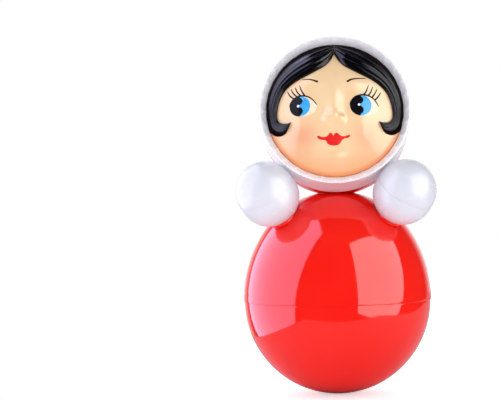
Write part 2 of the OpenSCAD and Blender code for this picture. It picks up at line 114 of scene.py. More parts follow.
class NodeGraph:
    """The nodes of one material, or of the room."""

    def __init__(self, tree: bpy.types.NodeTree) -> None:
        """Starts with an empty tree."""
        self.tree = tree
        tree.nodes.clear()

    def add(self, kind: str, **settings: object) -> Node:
        """Adds a node.

        Args:
            kind: Node type.
            settings: Node properties to set.

        Returns:
            The new node.
        """
        node = self.tree.nodes.new(kind)
        for key, value in settings.items():
            setattr(node, key, value)
        return node

    def join(self, source: Socket, target: Socket) -> None:
        """Links an output to an input."""
        self.tree.links.new(source, target)

    def combine(self, operation: str, first: Socket, second: Socket) -> Socket:
        """Works out one value from two.

        Args:
            operation: Name of the arithmetic.
            first: First value.
            second: Second value.

        Returns:
            The result.
        """
        node = self.add("ShaderNodeMath", operation=operation)
        self.join(first, node.inputs[0])
        self.join(second, node.inputs[1])
        return node.outputs["Value"]

    def spread(
        self, level: Socket, low: float, high: float, start: float = 0.3, end: float = 0.7
    ) -> Socket:
        """Spreads a level over a range.

        Args:
            level: Level to spread.
            low: Result at start and below.
            high: Result at end and above.
            start: Level that gives low.
            end: Level that gives high.

        Returns:
            The spread level.
        """
        node = self.add("ShaderNodeMapRange", interpolation_type="SMOOTHSTEP")
        limits = {"From Min": start, "From Max": end, "To Min": low, "To Max": high}
        for key, value in limits.items():
            node.inputs[key].default_value = value
        self.join(level, node.inputs["Value"])
        return node.outputs["Result"]


class Shader(NodeGraph):
    """A material under construction: one principled surface and the nodes that feed it."""

    def __init__(self, name: str) -> None:
        """Starts an empty material of the given name."""
        self.material = bpy.data.materials.new(name)
        self.material.use_nodes = True
        super().__init__(self.material.node_tree)
        self.surface = self.add("ShaderNodeBsdfPrincipled")
        output = self.add("ShaderNodeOutputMaterial")
        self.join(self.surface.outputs["BSDF"], output.inputs["Surface"])

    def set(self, **values: object) -> None:
        """Sets constants on the surface, its socket names written with underscores."""
        for key, value in values.items():
            self.surface.inputs[key.replace("_", " ")].default_value = value

    def feed(self, socket: str, source: Socket) -> None:
        """Links a source to a socket of the surface."""
        self.join(source, self.surface.inputs[socket])

    def stretched(self, vector: Socket, stretch: Triple) -> Socket:
        """Stretches a vector along the axes.

        Args:
            vector: Vector to stretch.
            stretch: Factor along X, Y and Z.

        Returns:
            The stretched vector.
        """
        mapping = self.add("ShaderNodeMapping")
        mapping.inputs["Scale"].default_value = stretch
        self.join(vector, mapping.inputs["Vector"])
        return mapping.outputs["Vector"]

    def place(self, stretch: Triple = (1, 1, 1)) -> Socket:
        """Object coordinates, stretched along the axes."""
        return self.stretched(self.add("ShaderNodeTexCoord").outputs["Object"], stretch)

    def noise(self, vector: Socket, scale: float, detail: float) -> Socket:
        """Noise texture.

        Args:
            vector: Where to read it.
            scale: Cells in a unit of the vector.
            detail: Octaves of finer noise.

        Returns:
            The level, from 0 to 1.
        """
        node = self.add("ShaderNodeTexNoise")
        node.inputs["Scale"].default_value = scale
        node.inputs["Detail"].default_value = detail
        self.join(vector, node.inputs["Vector"])
        return node.outputs["Fac"]

    def attribute(self, name: str) -> Socket:
        """Level of one of the piece's own point attributes."""
        return self.add("ShaderNodeAttribute", attribute_name=name).outputs["Fac"]

    def blend(self, level: Socket, low: Colour | Socket, high: Colour) -> Socket:
        """Mixes two colours by a level.

        Args:
            level: Share of the second colour.
            low: First colour, or the socket that gives it.
            high: Second colour.

        Returns:
            The mixed colour.
        """
        node = self.add("ShaderNodeMix", data_type="RGBA")
        mix_level, first, second = node.inputs[0], node.inputs[6], node.inputs[7]
        self.join(level, mix_level)
        if isinstance(low, Socket):
            self.join(low, first)
        else:
            first.default_value = low
        second.default_value = high
        return node.outputs[2]

    def clouded(self, clouds: Socket, colour: Colour, cloud: Colour) -> Socket:
        """A colour with soft clouds of a second one."""
        return self.blend(self.spread(clouds, 0, 1), colour, cloud)

    def bump(self, height: Socket, depth: float, strength: float) -> None:
        """Roughens the surface.

        Args:
            height: Level of the relief.
            depth: Depth of the relief in metres.
            strength: Share of the relief that shows.
        """
        node = self.add("ShaderNodeBump")
        node.inputs["Strength"].default_value = strength
        node.inputs["Distance"].default_value = depth
        self.join(height, node.inputs["Height"])
        self.feed("Normal", node.outputs["Normal"])


class Finish:
    """A finish of the doll, dressed on a fresh material of its own name."""

    name: str

    def build(self) -> Material:
        """Builds the material.

        Returns:
            The finished material.
        """
        shader = Shader(self.name)
        self.dress(shader)
        return shader.material

    def dress(self, shader: Shader) -> None:
        """Adds the finish's nodes to a material."""
        raise NotImplementedError


@dataclass(frozen=True)
class MouldedPlastic(Finish):
    """Polished moulded plastic with faint flow clouds, handling scuffs and a fine orange peel."""

    name: str
    colour: Colour
    cloud: Colour
    roughness: float
    milk: float
    milk_depth: float = 0.003
    milk_tint: Triple = (1.0, 0.97, 1.0)
    index: float = 1.48
    cloud_scale: float = 28.0
    cloud_detail: float = 3.0
    scuff_scale: float = 90.0
    scuff_detail: float = 5.0
    scuff_stretch: Triple = (1, 1, 2)
    scuff_levels: Pair = (0.4, 0.75)
    scuff_gloss: Pair = (0.92, 1.12)
    peel_scale: float = 520.0
    peel_detail: float = 2.0
    peel_depth: float = 0.000012
    peel_strength: float = 0.35

    def dress(self, shader: Shader) -> None:
        """Adds the clouds, the scuffs, the peel and the milky depth.

        Args:
            shader: Material to dress.
        """
        clouds = shader.noise(shader.place(), self.cloud_scale, self.cloud_detail)
        shader.feed("Base Color", shader.clouded(clouds, self.colour, self.cloud))
        scuffs = shader.noise(
            shader.place(self.scuff_stretch), self.scuff_scale, self.scuff_detail
        )
        smooth, scuffed = (self.roughness * share for share in self.scuff_gloss)
        shader.feed("Roughness", shader.spread(scuffs, smooth, scuffed, *self.scuff_levels))
        peel = shader.noise(shader.place(), self.peel_scale, self.peel_detail)
        shader.bump(peel, self.peel_depth, self.peel_strength)
        shader.set(IOR=self.index, Subsurface_Weight=self.milk)
        shader.set(Subsurface_Scale=self.milk_depth, Subsurface_Radius=self.milk_tint)


@dataclass(frozen=True)
class SkinPaint(Finish):
    """Skin-coloured plastic, warm towards the rim in spray and painted shade, blushed on the
    cheeks.
    """

    name: str = "skin_paint"
    colour: Colour = srgb(248, 214, 170)
    cloud: Colour = srgb(246, 207, 160)
    warm_shade: Colour = srgb(238, 152, 98)
    blush: Colour = srgb(240, 142, 108)
    roughness: float = 0.21
    index: float = 1.47
    coat: float = 0.2
    coat_roughness: float = 0.14
    cloud_scale: float = 60.0
    cloud_detail: float = 4.0
    spray_scale: float = 1400.0
    spray_detail: float = 2.0
    spray_gloss: Pair = (0.85, 1.2)
    spray_depth: float = 0.00001
    spray_strength: float = 0.3

    def dress(self, shader: Shader) -> None:
        """Adds the warm rim of spray and painted shade, the blush, the grain of the spray and a
        thin coat.

        Args:
            shader: Material to dress.
        """
        clouds = shader.noise(shader.place(), self.cloud_scale, self.cloud_detail)
        base = shader.clouded(clouds, self.colour, self.cloud)
        # The warm blend is part sprayed paint, part painted shade at the steep rim and low on the
        # face.
        warm_shaded = shader.blend(shader.attribute("warmth"), base, self.warm_shade)
        blushed = shader.blend(shader.attribute("blush"), warm_shaded, self.blush)
        shader.feed("Base Color", blushed)
        spray = shader.noise(shader.place(), self.spray_scale, self.spray_detail)
        smooth, grainy = (self.roughness * share for share in self.spray_gloss)
        shader.feed("Roughness", shader.spread(spray, smooth, grainy))
        shader.bump(spray, self.spray_depth, self.spray_strength)
        shader.set(IOR=self.index, Coat_Weight=self.coat, Coat_Roughness=self.coat_roughness)


@dataclass(frozen=True)
class HairPaint(Finish):
    """Black gloss paint over combed moulded hair, with grey highlights painted along the comb."""

    name: str = "hair_paint"
    colour: Colour = srgb(5, 5, 7)
    sheen_colour: Colour = srgb(92, 95, 108)
    roughness: float = 0.07
    index: float = 1.5
    gloss: float = 0.26
    strand_stretch: Triple = (2.6, 30.0, 1.0)
    strand_detail: float = 4.0
    strand_depth: float = 0.0002
    strand_strength: float = 0.6
    sheen_cover: float = 0.9
    sheen_levels: Pair = (0.6, 0.74)
    dry_share: float = 2.2
    dry_levels: Pair = (0.45, 0.8)

    def dress(self, shader: Shader) -> None:
        """Adds strands that follow each lock from its parting to its curl, with painted grey
        highlights.

        Args:
            shader: Material to dress.
        """
        comb = shader.add("ShaderNodeCombineXYZ")
        shader.join(shader.attribute("along"), comb.inputs["X"])
        shader.join(shader.attribute("across"), comb.inputs["Y"])
        run = shader.stretched(comb.outputs["Vector"], self.strand_stretch)
        strands = shader.noise(run, 1.0, self.strand_detail)
        # Grey streaks in the base colour are painted highlights along the comb.
        painted_sheen = shader.spread(strands, 0, self.sheen_cover, *self.sheen_levels)
        shader.feed("Base Color", shader.blend(painted_sheen, self.colour, self.sheen_colour))
        dry = self.roughness * self.dry_share
        shader.feed("Roughness", shader.spread(strands, self.roughness, dry, *self.dry_levels))
        shader.bump(strands, self.strand_depth, self.strand_strength)
        shader.set(IOR=self.index, Specular_IOR_Level=self.gloss)


@dataclass(frozen=True)
class BrushPaint(Finish):
    """A thin hand-brushed paint, a little streaky and a little uneven in gloss."""

    name: str
    colour: Colour
    thin: Colour
    roughness: float = 0.2
    gloss: float = 0.4
    index: float = 1.45
    coat_share: float = 0.125
    coat_roughness: float = 0.15
    streak_stretch: Triple = (260, 260, 700)
    streak_detail: float = 3.0
    streak_gloss: Pair = (0.8, 1.3)
    streak_depth: float = 0.00001
    streak_strength: float = 0.4

    def dress(self, shader: Shader) -> None:
        """Adds the brush's streaks and the paint's gloss.

        Args:
            shader: Material to dress.
        """
        streaks = shader.noise(shader.place(self.streak_stretch), 1.0, self.streak_detail)
        shader.feed("Base Color", shader.clouded(streaks, self.colour, self.thin))
        smooth, streaky = (self.roughness * share for share in self.streak_gloss)
        shader.feed("Roughness", shader.spread(streaks, smooth, streaky))
        shader.bump(streaks, self.streak_depth, self.streak_strength)
        shader.set(IOR=self.index, Specular_IOR_Level=self.gloss)
        shader.set(Coat_Weight=self.gloss * self.coat_share, Coat_Roughness=self.coat_roughness)


@dataclass(frozen=True)
class WorkedMetal(Finish):
    """Metal with drawn or cast marks and a little tarnish."""

    name: str
    colour: Colour
    tarnish: Colour
    roughness: float
    mark_stretch: Triple
    mark_scale: float
    mark_depth: float
    mark_detail: float = 4.0
    mark_gloss: Pair = (0.75, 1.3)
    mark_strength: float = 0.5
    tarnish_scale: float = 120.0
    tarnish_detail: float = 4.0
    tarnish_cover: float = 0.8
    tarnish_levels: Pair = (0.45, 0.8)

    def dress(self, shader: Shader) -> None:
        """Adds the tarnish and the tool's marks.

        Args:
            shader: Material to dress.
        """
        clouds = shader.noise(shader.place(), self.tarnish_scale, self.tarnish_detail)
        dull = shader.spread(clouds, 0, self.tarnish_cover, *self.tarnish_levels)
        shader.feed("Base Color", shader.blend(dull, self.colour, self.tarnish))
        marks = shader.noise(shader.place(self.mark_stretch), self.mark_scale, self.mark_detail)
        smooth, marked = (self.roughness * share for share in self.mark_gloss)
        shader.feed("Roughness", shader.spread(marks, smooth, marked))
        shader.bump(marks, self.mark_depth, self.mark_strength)
        shader.set(Metallic=1.0)


class Palette:
    """Every finish of the doll, built once."""

    def __init__(self) -> None:
        """Builds the finishes."""
        self.red = MouldedPlastic(
            "red_gloss", srgb(250, 34, 22), srgb(246, 28, 18), roughness=0.07, milk=0.0
        ).build()
        self.white = MouldedPlastic(
            "white_gloss", srgb(249, 246, 255), srgb(246, 243, 254), roughness=0.22, milk=0.35
        ).build()
        self.pearl = MouldedPlastic(
            "pearl_white", srgb(224, 226, 236), srgb(220, 223, 234), roughness=0.26, milk=0.0
        ).build()
        self.skin = SkinPaint().build()
        self.hair = HairPaint().build()
        # Near-black matte film for the hair's outer edge: painted shade where the lock's outer wall
        # falls into shadow.
        self.dull = BrushPaint(
            "hair_edge_paint", srgb(24, 8, 12), srgb(14, 6, 9), roughness=0.7, gloss=0.02
        ).build()
        self.black = BrushPaint(
            "eye_black", srgb(9, 9, 12), srgb(16, 16, 21), roughness=0.24, gloss=0.1
        ).build()
        self.blue = BrushPaint("iris_blue", srgb(66, 178, 252), srgb(56, 166, 248)).build()
        self.cream = BrushPaint("eye_cream", srgb(253, 236, 208), srgb(252, 230, 198)).build()
        self.dot = BrushPaint("eye_glint", srgb(252, 252, 252), srgb(244, 246, 250)).build()
        self.lips = BrushPaint("lip_red", srgb(236, 40, 38), srgb(228, 32, 32)).build()
        self.iron = WorkedMetal(
            "cast_weight", srgb(78, 78, 82), srgb(52, 48, 46), roughness=0.62,
            mark_stretch=(1, 1, 1), mark_scale=340.0, mark_depth=0.00025,
        ).build()
        self.steel = WorkedMetal(
            "drawn_steel", srgb(186, 188, 192), srgb(150, 150, 152), roughness=0.3,
            mark_stretch=(30, 30, 1), mark_scale=60.0, mark_depth=0.00003,
        ).build()
        self.brass = WorkedMetal(
            "turned_brass", srgb(204, 164, 84), srgb(150, 112, 54), roughness=0.28,
            mark_stretch=(1, 1, 24), mark_scale=80.0, mark_depth=0.00003,
        ).build()


@dataclass(frozen=True)
class DollSizes:
    """Main sizes of the doll in millimetres, the same as its solids have."""

    lower_r: float = 54.5
    rest_r: float = 4.0
    seam_step: float = 0.5
    dome_rise: float = 9.0
    crown_drop: float = 4.0
    body_wall: float = 2.2
    lap_h: float = 3.0
    glue_gap: float = 0.1
    seat_gap: float = 0.05
    neck_r: float = 10.8
    neck_h: float = 0.2
    neck_sink: float = 2.4
    neck_hole_r: float = 2.65
    neck_land: float = 0.6
    crown_pad_t: float = 4.0
    head_share: float = 0.793
    head_wall: float = 2.0
    face_tilt: float = 13.0
    head_seam: float = 4.6
    skirt_step: float = 0.5
    brim_out: float = 0.4
    brim_share: float = 0.636
    brim_depth: float = 6.0
    bonnet_wall: float = 2.2
    mask_inset: float = 3.2
    mask_wall: float = 1.8
    bulge_share: float = 0.375
    nose_share: float = 0.09
    hair_h: float = 1.2
    hand_share: float = 0.321
    hand_band: float = 3.2
    hand_wall: float = 1.8
    hand_lift: float = 53.0
    hand_turn: float = 34.0
    hand_flat_r: float = 7.4
    shoulder_h: float = 0.4
    shoulder_land: float = 0.4
    peg_r: float = 3.5

    @property
    def seam_z(self) -> float:
        """Height of the waist seam."""
        return math.sqrt(self.lower_r**2 - self.rest_r**2)

    @property
    def dome_r(self) -> float:
        """Radius of the upper half at the seam."""
        return self.lower_r + self.seam_step

    @property
    def crown_r(self) -> float:
        """Radius of the crown's arc."""
        return self.dome_r - self.crown_drop

    @property
    def crown_c(self) -> float:
        """Height of the crown arc's centre over the seam."""
        return self.dome_r + self.dome_rise - self.crown_r

    @property
    def side_r(self) -> float:
        """Radius of the side arc, tangent to the crown and upright at the seam."""
        return (self.dome_r**2 + self.crown_c**2 - self.crown_r**2) / (2 * self.crown_drop)

    @property
    def join_angle(self) -> float:
        """Angle in degrees at which the side arc meets the crown."""
        return math.degrees(math.atan2(self.crown_c, self.side_r - self.dome_r))

    @property
    def neck_seat_r(self) -> float:
        """Radius of the crown's edge round the neck."""
        return self.neck_r + self.neck_land

    @property
    def neck_seat_z(self) -> float:
        """Height of the crown's edge round the neck."""
        return self.seam_z + self.crown_c + math.sqrt(self.crown_r**2 - self.neck_seat_r**2)

    @property
    def neck_floor_z(self) -> float:
        """Height of the floor of the crown's socket."""
        return self.neck_seat_z - self.neck_sink

    @property
    def head_r(self) -> float:
        """Radius of the head ball."""
        return self.head_share * self.lower_r

    @property
    def head_z(self) -> float:
        """Height of the head ball's centre."""
        return self.neck_seat_z + self.neck_h + math.sqrt(self.head_r**2 - self.neck_r**2)

    @property
    def head_seam_r(self) -> float:
        """Radius of the back of the head at the seam behind the bonnet."""
        return math.sqrt(self.head_r**2 - self.head_seam**2)

    @property
    def brim_z(self) -> float:
        """Distance of the bonnet's front edge from the head ball's centre."""
        return self.brim_share * self.head_r

    @property
    def mask_r(self) -> float:
        """Radius of the face mask."""
        return self.head_r - self.mask_inset

    @property
    def mask_z(self) -> float:
        """Distance of the mask's rim from the head ball's centre."""
        return self.brim_z - self.brim_depth

    @property
    def hand_r(self) -> float:
        """Radius of a hand ball."""
        return self.hand_share * self.lower_r

    @property
    def hand_foot(self) -> float:
        """Distance from a hand's seam to the flat that it stands on."""
        return self.hand_band / 2 + math.sqrt(self.hand_r**2 - self.hand_flat_r**2)

    @property
    def shoulder_reach(self) -> float:
        """Distance from the seam's centre to the body's skin along a hand's axis."""
        lift = math.radians(self.hand_lift)
        along = self.crown_c * math.sin(lift)
        return math.sqrt(self.crown_r**2 - (self.crown_c * math.cos(lift)) ** 2) + along

    @property
    def hand_place(self) -> float:
        """Distance from the seam's centre to a hand's seam along its axis."""
        return self.shoulder_reach + self.shoulder_h + self.seat_gap + self.hand_foot

    def head_frame(self) -> Matrix:
        """Placement whose Z runs out through the face, at the head ball's centre."""
        tilted = Matrix.Rotation(math.radians(90 - self.face_tilt), 4, "X")
        return Matrix.Translation((0, 0, self.head_z)) @ tilted

    def shoulder_frame(self, side: Side) -> Matrix:
        """Placement whose Z runs out through a shoulder, at the seam's centre.

        Args:
            side: Which shoulder.

        Returns:
            The placement in millimetres.
        """
        turn = -self.hand_turn if side is Side.RIGHT else 180 + self.hand_turn
        return (
            Matrix.Translation((0, 0, self.seam_z))
            @ Matrix.Rotation(math.radians(turn), 4, "Z")
            @ Matrix.Rotation(math.radians(90 - self.hand_lift), 4, "Y")
        )


class Workpiece:
    """A mesh being shaped in millimetres, until it is set down as a piece of the doll."""

    merge_gap = 0.0005
    sharp_angle = 40.0
    ease_segments = 3

    def __init__(self) -> None:
        """Starts with an empty mesh."""
        self.bm = bmesh.new()

    def close_up(self) -> None:
        """Merges doubled points and turns every face outwards."""
        bmesh.ops.remove_doubles(self.bm, verts=self.bm.verts[:], dist=self.merge_gap)
        bmesh.ops.recalc_face_normals(self.bm, faces=self.bm.faces[:])

    def ease_edges(self, width: float) -> None:
        """Rounds the sharp edges.

        Args:
            width: Width of the rounding.
        """
        limit = math.radians(self.sharp_angle)
        sharp = [e for e in self.bm.edges if e.is_manifold and abs(e.calc_face_angle(0.0)) > limit]
        bmesh.ops.bevel(
            self.bm, geom=sharp, offset=width, offset_type="OFFSET", affect="EDGES",
            segments=self.ease_segments, profile=0.5, material=-1, clamp_overlap=True,
        )

    def take(self, other: "Workpiece", place: Matrix) -> None:
        """Adds another workpiece to this one.

        Args:
            other: Workpiece to add; it is used up.
            place: Where it goes.
        """
        bmesh.ops.transform(other.bm, matrix=place, verts=other.bm.verts[:])
        mesh = bpy.data.meshes.new("joined")
        other.bm.to_mesh(mesh)
        other.bm.free()
        self.bm.from_mesh(mesh)
        bpy.data.meshes.remove(mesh)

    def set_down(
        self,
        name: str,
        place: Matrix,
        finish: Material,
        slot: Slot,
        stands_for: Sequence[str] = (),
        crease: float = 50.0,
    ) -> Piece:
        """Makes the workpiece a piece of the doll.

        Args:
            name: Name of the piece.
            place: Where it goes, in millimetres.
            finish: Its material.
            slot: The record's slot for that material; not used.
            stands_for: Solids that it replaces.
            crease: Edges that turn by more than this many degrees stay sharp.

        Returns:
            The object, riding on the doll.
        """
        bmesh.ops.transform(self.bm, matrix=Matrix.Scale(MM, 4) @ place, verts=self.bm.verts[:])
        mesh = bpy.data.meshes.new(name)
        self.bm.to_mesh(mesh)
        self.bm.free()
        mesh.shade_smooth()
        mesh.set_sharp_from_angle(angle=math.radians(crease))
        mesh.materials.append(finish)
        piece = bpy.data.objects.new(name, mesh)
        bpy.context.scene.collection.objects.link(piece)
        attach(piece, "doll")
        if stands_for:
            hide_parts(*stands_for)
        return piece


class Lathe(Workpiece):
    """A half outline drawn from point to point in the XZ plane and turned about Z."""

    def __init__(self, r: float, z: float) -> None:
        """Starts the outline at a radius and height."""
        super().__init__()
        self.first = self.tip = self.bm.verts.new((r, 0, z))

    def line(self, r: float, z: float) -> "Lathe":
        """Draws a straight stretch.

        Args:
            r: Radius of its end.
            z: Height of its end.

        Returns:
            The lathe, for the next stretch.
        """
        made = bmesh.ops.extrude_vert_indiv(self.bm, verts=[self.tip])
        self.tip = made["verts"][0]
        self.tip.co = (r, 0, z)
        return self

    def arc(self, r: float, z: float, angle: float, steps: int) -> "Lathe":
        """Draws an arc about a centre.

        Args:
            r: Radius of the centre.
            z: Height of the centre.
            angle: Sweep in degrees, from outwards to upwards.
            steps: Stretches along the arc.

        Returns:
            The lathe, for the next stretch.
        """
        made = bmesh.ops.spin(
            self.bm, geom=[self.tip], cent=(r, 0, z), axis=(0, -1, 0),
            angle=math.radians(angle), steps=steps, use_merge=False, use_duplicate=False,
        )
        self.tip = next(g for g in made["geom_last"] if isinstance(g, bmesh.types.BMVert))
        return self

    def close(self) -> "Lathe":
        """Joins the outline's end to its start."""
        bmesh.ops.contextual_create(self.bm, geom=[self.tip, self.first])
        return self

    def turn(self, steps: int) -> "Lathe":
        """Turns the outline all the way round.

        Args:
            steps: Faces round the axis.

        Returns:
            The lathe, with a closed mesh.
        """
        bmesh.ops.spin(
            self.bm, geom=self.bm.verts[:] + self.bm.edges[:], cent=(0, 0, 0), axis=(0, 0, 1),
            angle=math.tau, steps=steps, use_merge=True, use_duplicate=False,
        )
        self.close_up()
        return self


@dataclass
class BodyShells:
    """The two red halves of the body, joined at the waist."""

    sizes: DollSizes
    palette: Palette
    steps: int = 192
    ball_steps: int = 72
    bowl_steps: int = 40
    side_steps: int = 28
    crown_steps: int = 48
    inner_crown_steps: int = 32
    inner_side_steps: int = 16
    pad_steps: int = 64
    edge_ease: float = 0.22
    gate_r: float = 1.5
    gate_depth: float = 0.25
    gate_slope: float = 0.2

    def build(self) -> list[Piece]:
        """Builds both halves."""
        return [self.lower(), self.upper()]

    def lower(self) -> Piece:
        """Lower half ball with the trimmed gate and the lip that enters the upper half.

        Returns:
            The piece.
        """
        s = self.sizes
        bowl_r = s.lower_r - s.body_wall
        lip_r = s.dome_r - s.body_wall / 2 - s.glue_gap
        lip_z = s.seam_z + s.lap_h - s.glue_gap
        swept = 90 - math.degrees(math.asin(s.rest_r / s.lower_r))
        shell = Lathe(0, self.gate_depth).line(self.gate_r, self.gate_depth)
        shell.line(self.gate_r + self.gate_slope, 0).line(s.rest_r, 0)
        shell.arc(0, s.seam_z, swept, self.ball_steps).line(lip_r, s.seam_z)
        shell.line(lip_r, lip_z).line(bowl_r, lip_z).line(bowl_r, s.seam_z)
        shell.arc(0, s.seam_z, -90, self.bowl_steps).turn(self.steps)
        shell.ease_edges(self.edge_ease)
        return shell.set_down(
            "lower_body", Matrix(), self.palette.red, Slot.RED, ["lower_body_shell"]
        )

    def upper(self) -> Piece:
        """Taller upper half with the socket for the neck and the pads for the hands.

        Returns:
            The piece.
        """
        s = self.sizes
        side_x = s.dome_r - s.side_r
        crown_z = s.seam_z + s.crown_c
        inner_r = s.crown_r - s.body_wall
        socket_r = s.neck_r + s.glue_gap
        pad_r = s.neck_seat_r + s.body_wall
        pad_z = s.neck_floor_z - s.crown_pad_t
        seat_angle = math.degrees(math.acos(s.neck_seat_r / s.crown_r))
        pad_angle = math.degrees(math.acos(pad_r / inner_r))
        lap_angle = math.degrees(math.asin(s.lap_h / (s.side_r - s.body_wall)))
        lap_r = s.dome_r - s.body_wall / 2
        shell = Lathe(s.dome_r, s.seam_z)
        shell.arc(side_x, s.seam_z, s.join_angle, self.side_steps)
        shell.arc(0, crown_z, seat_angle - s.join_angle, self.crown_steps)
        shell.line(socket_r, s.neck_seat_z).line(socket_r, s.neck_floor_z)
        shell.line(s.neck_hole_r, s.neck_floor_z).line(s.neck_hole_r, pad_z).line(pad_r, pad_z)
        shell.line(pad_r, crown_z + inner_r * math.sin(math.radians(pad_angle)))
        shell.arc(0, crown_z, s.join_angle - pad_angle, self.inner_crown_steps)
        shell.arc(side_x, s.seam_z, lap_angle - s.join_angle, self.inner_side_steps)
        shell.line(lap_r, s.seam_z + s.lap_h).line(lap_r, s.seam_z).close().turn(self.steps)
        shell.ease_edges(self.edge_ease)
        for side in Side:
            shell.take(self.shoulder_pad(), s.shoulder_frame(side))
        return shell.set_down(
            "upper_body", Matrix(), self.palette.red, Slot.RED, ["upper_body_shell"]
        )

    def shoulder_pad(self) -> Workpiece:
        """Low round pad that a hand stands on.

        Returns:
            The pad, in the shoulder's frame.
        """
        s = self.sizes
        pad_r = s.hand_flat_r + s.shoulder_land
        root, top = s.shoulder_reach - s.body_wall / 2, s.shoulder_reach + s.shoulder_h
        pad = Lathe(0, root).line(pad_r, root).line(pad_r, top).line(0, top).turn(self.pad_steps)
        pad.ease_edges(self.edge_ease)
        return pad


@dataclass
class Neck:
    """Red collar in the crown's socket, dished for the head."""

    sizes: DollSizes
    palette: Palette
    steps: int = 128
    cup_steps: int = 12
    edge_ease: float = 0.08

    def build(self) -> list[Piece]:
        """Builds the collar.

        Returns:
            The piece, in a list.
        """
        s = self.sizes
        foot_z = s.neck_floor_z + s.seat_gap
        cup_r = s.head_r + s.seat_gap
        cup_angle = math.degrees(math.acos(s.neck_hole_r / cup_r) - math.acos(s.neck_r / cup_r))
        collar = Lathe(s.neck_hole_r, foot_z).line(s.neck_r, foot_z)
        collar.line(s.neck_r, s.head_z - math.sqrt(cup_r**2 - s.neck_r**2))
        collar.arc(0, s.head_z, -cup_angle, self.cup_steps).close().turn(self.steps)
        collar.ease_edges(self.edge_ease)
        return [collar.set_down("neck", Matrix(), self.palette.red, Slot.RED, ["neck_collar"])]


@dataclass
class Head:
    """Red back of the head, from the neck to the seam behind the bonnet."""

    sizes: DollSizes
    palette: Palette
    steps: int = 192
    ball_steps: int = 84
    inner_steps: int = 40
    lip_t: float = 1.5
    lip_root: float = 3.0
    edge_ease: float = 0.15

    def build(self) -> list[Piece]:
        """Builds the back of the head.

        Returns:
            The piece, in a list.
        """
        s = self.sizes
        inner_r = s.head_r - s.head_wall
        lip_r = s.head_seam_r - s.bonnet_wall - s.glue_gap
        lip_z = s.head_seam + s.lap_h
        root_r, root_z = lip_r - self.lip_t, s.head_seam - self.lip_root
        swept = 90 + math.degrees(math.asin(s.head_seam / s.head_r))
        inner_swept = 90 + math.degrees(math.asin(root_z / inner_r))
        shell = Lathe(0, -s.head_r).arc(0, 0, swept, self.ball_steps)
        shell.line(lip_r, s.head_seam).line(lip_r, lip_z).line(root_r, lip_z).line(root_r, root_z)
        shell.line(math.sqrt(inner_r**2 - root_z**2), root_z)
        shell.arc(0, 0, -inner_swept, self.inner_steps).turn(self.steps)
        shell.ease_edges(self.edge_ease)
        return [
            shell.set_down(
                "head_back", s.head_frame(), self.palette.red, Slot.RED, ["head_back_shell"]
            )
        ]


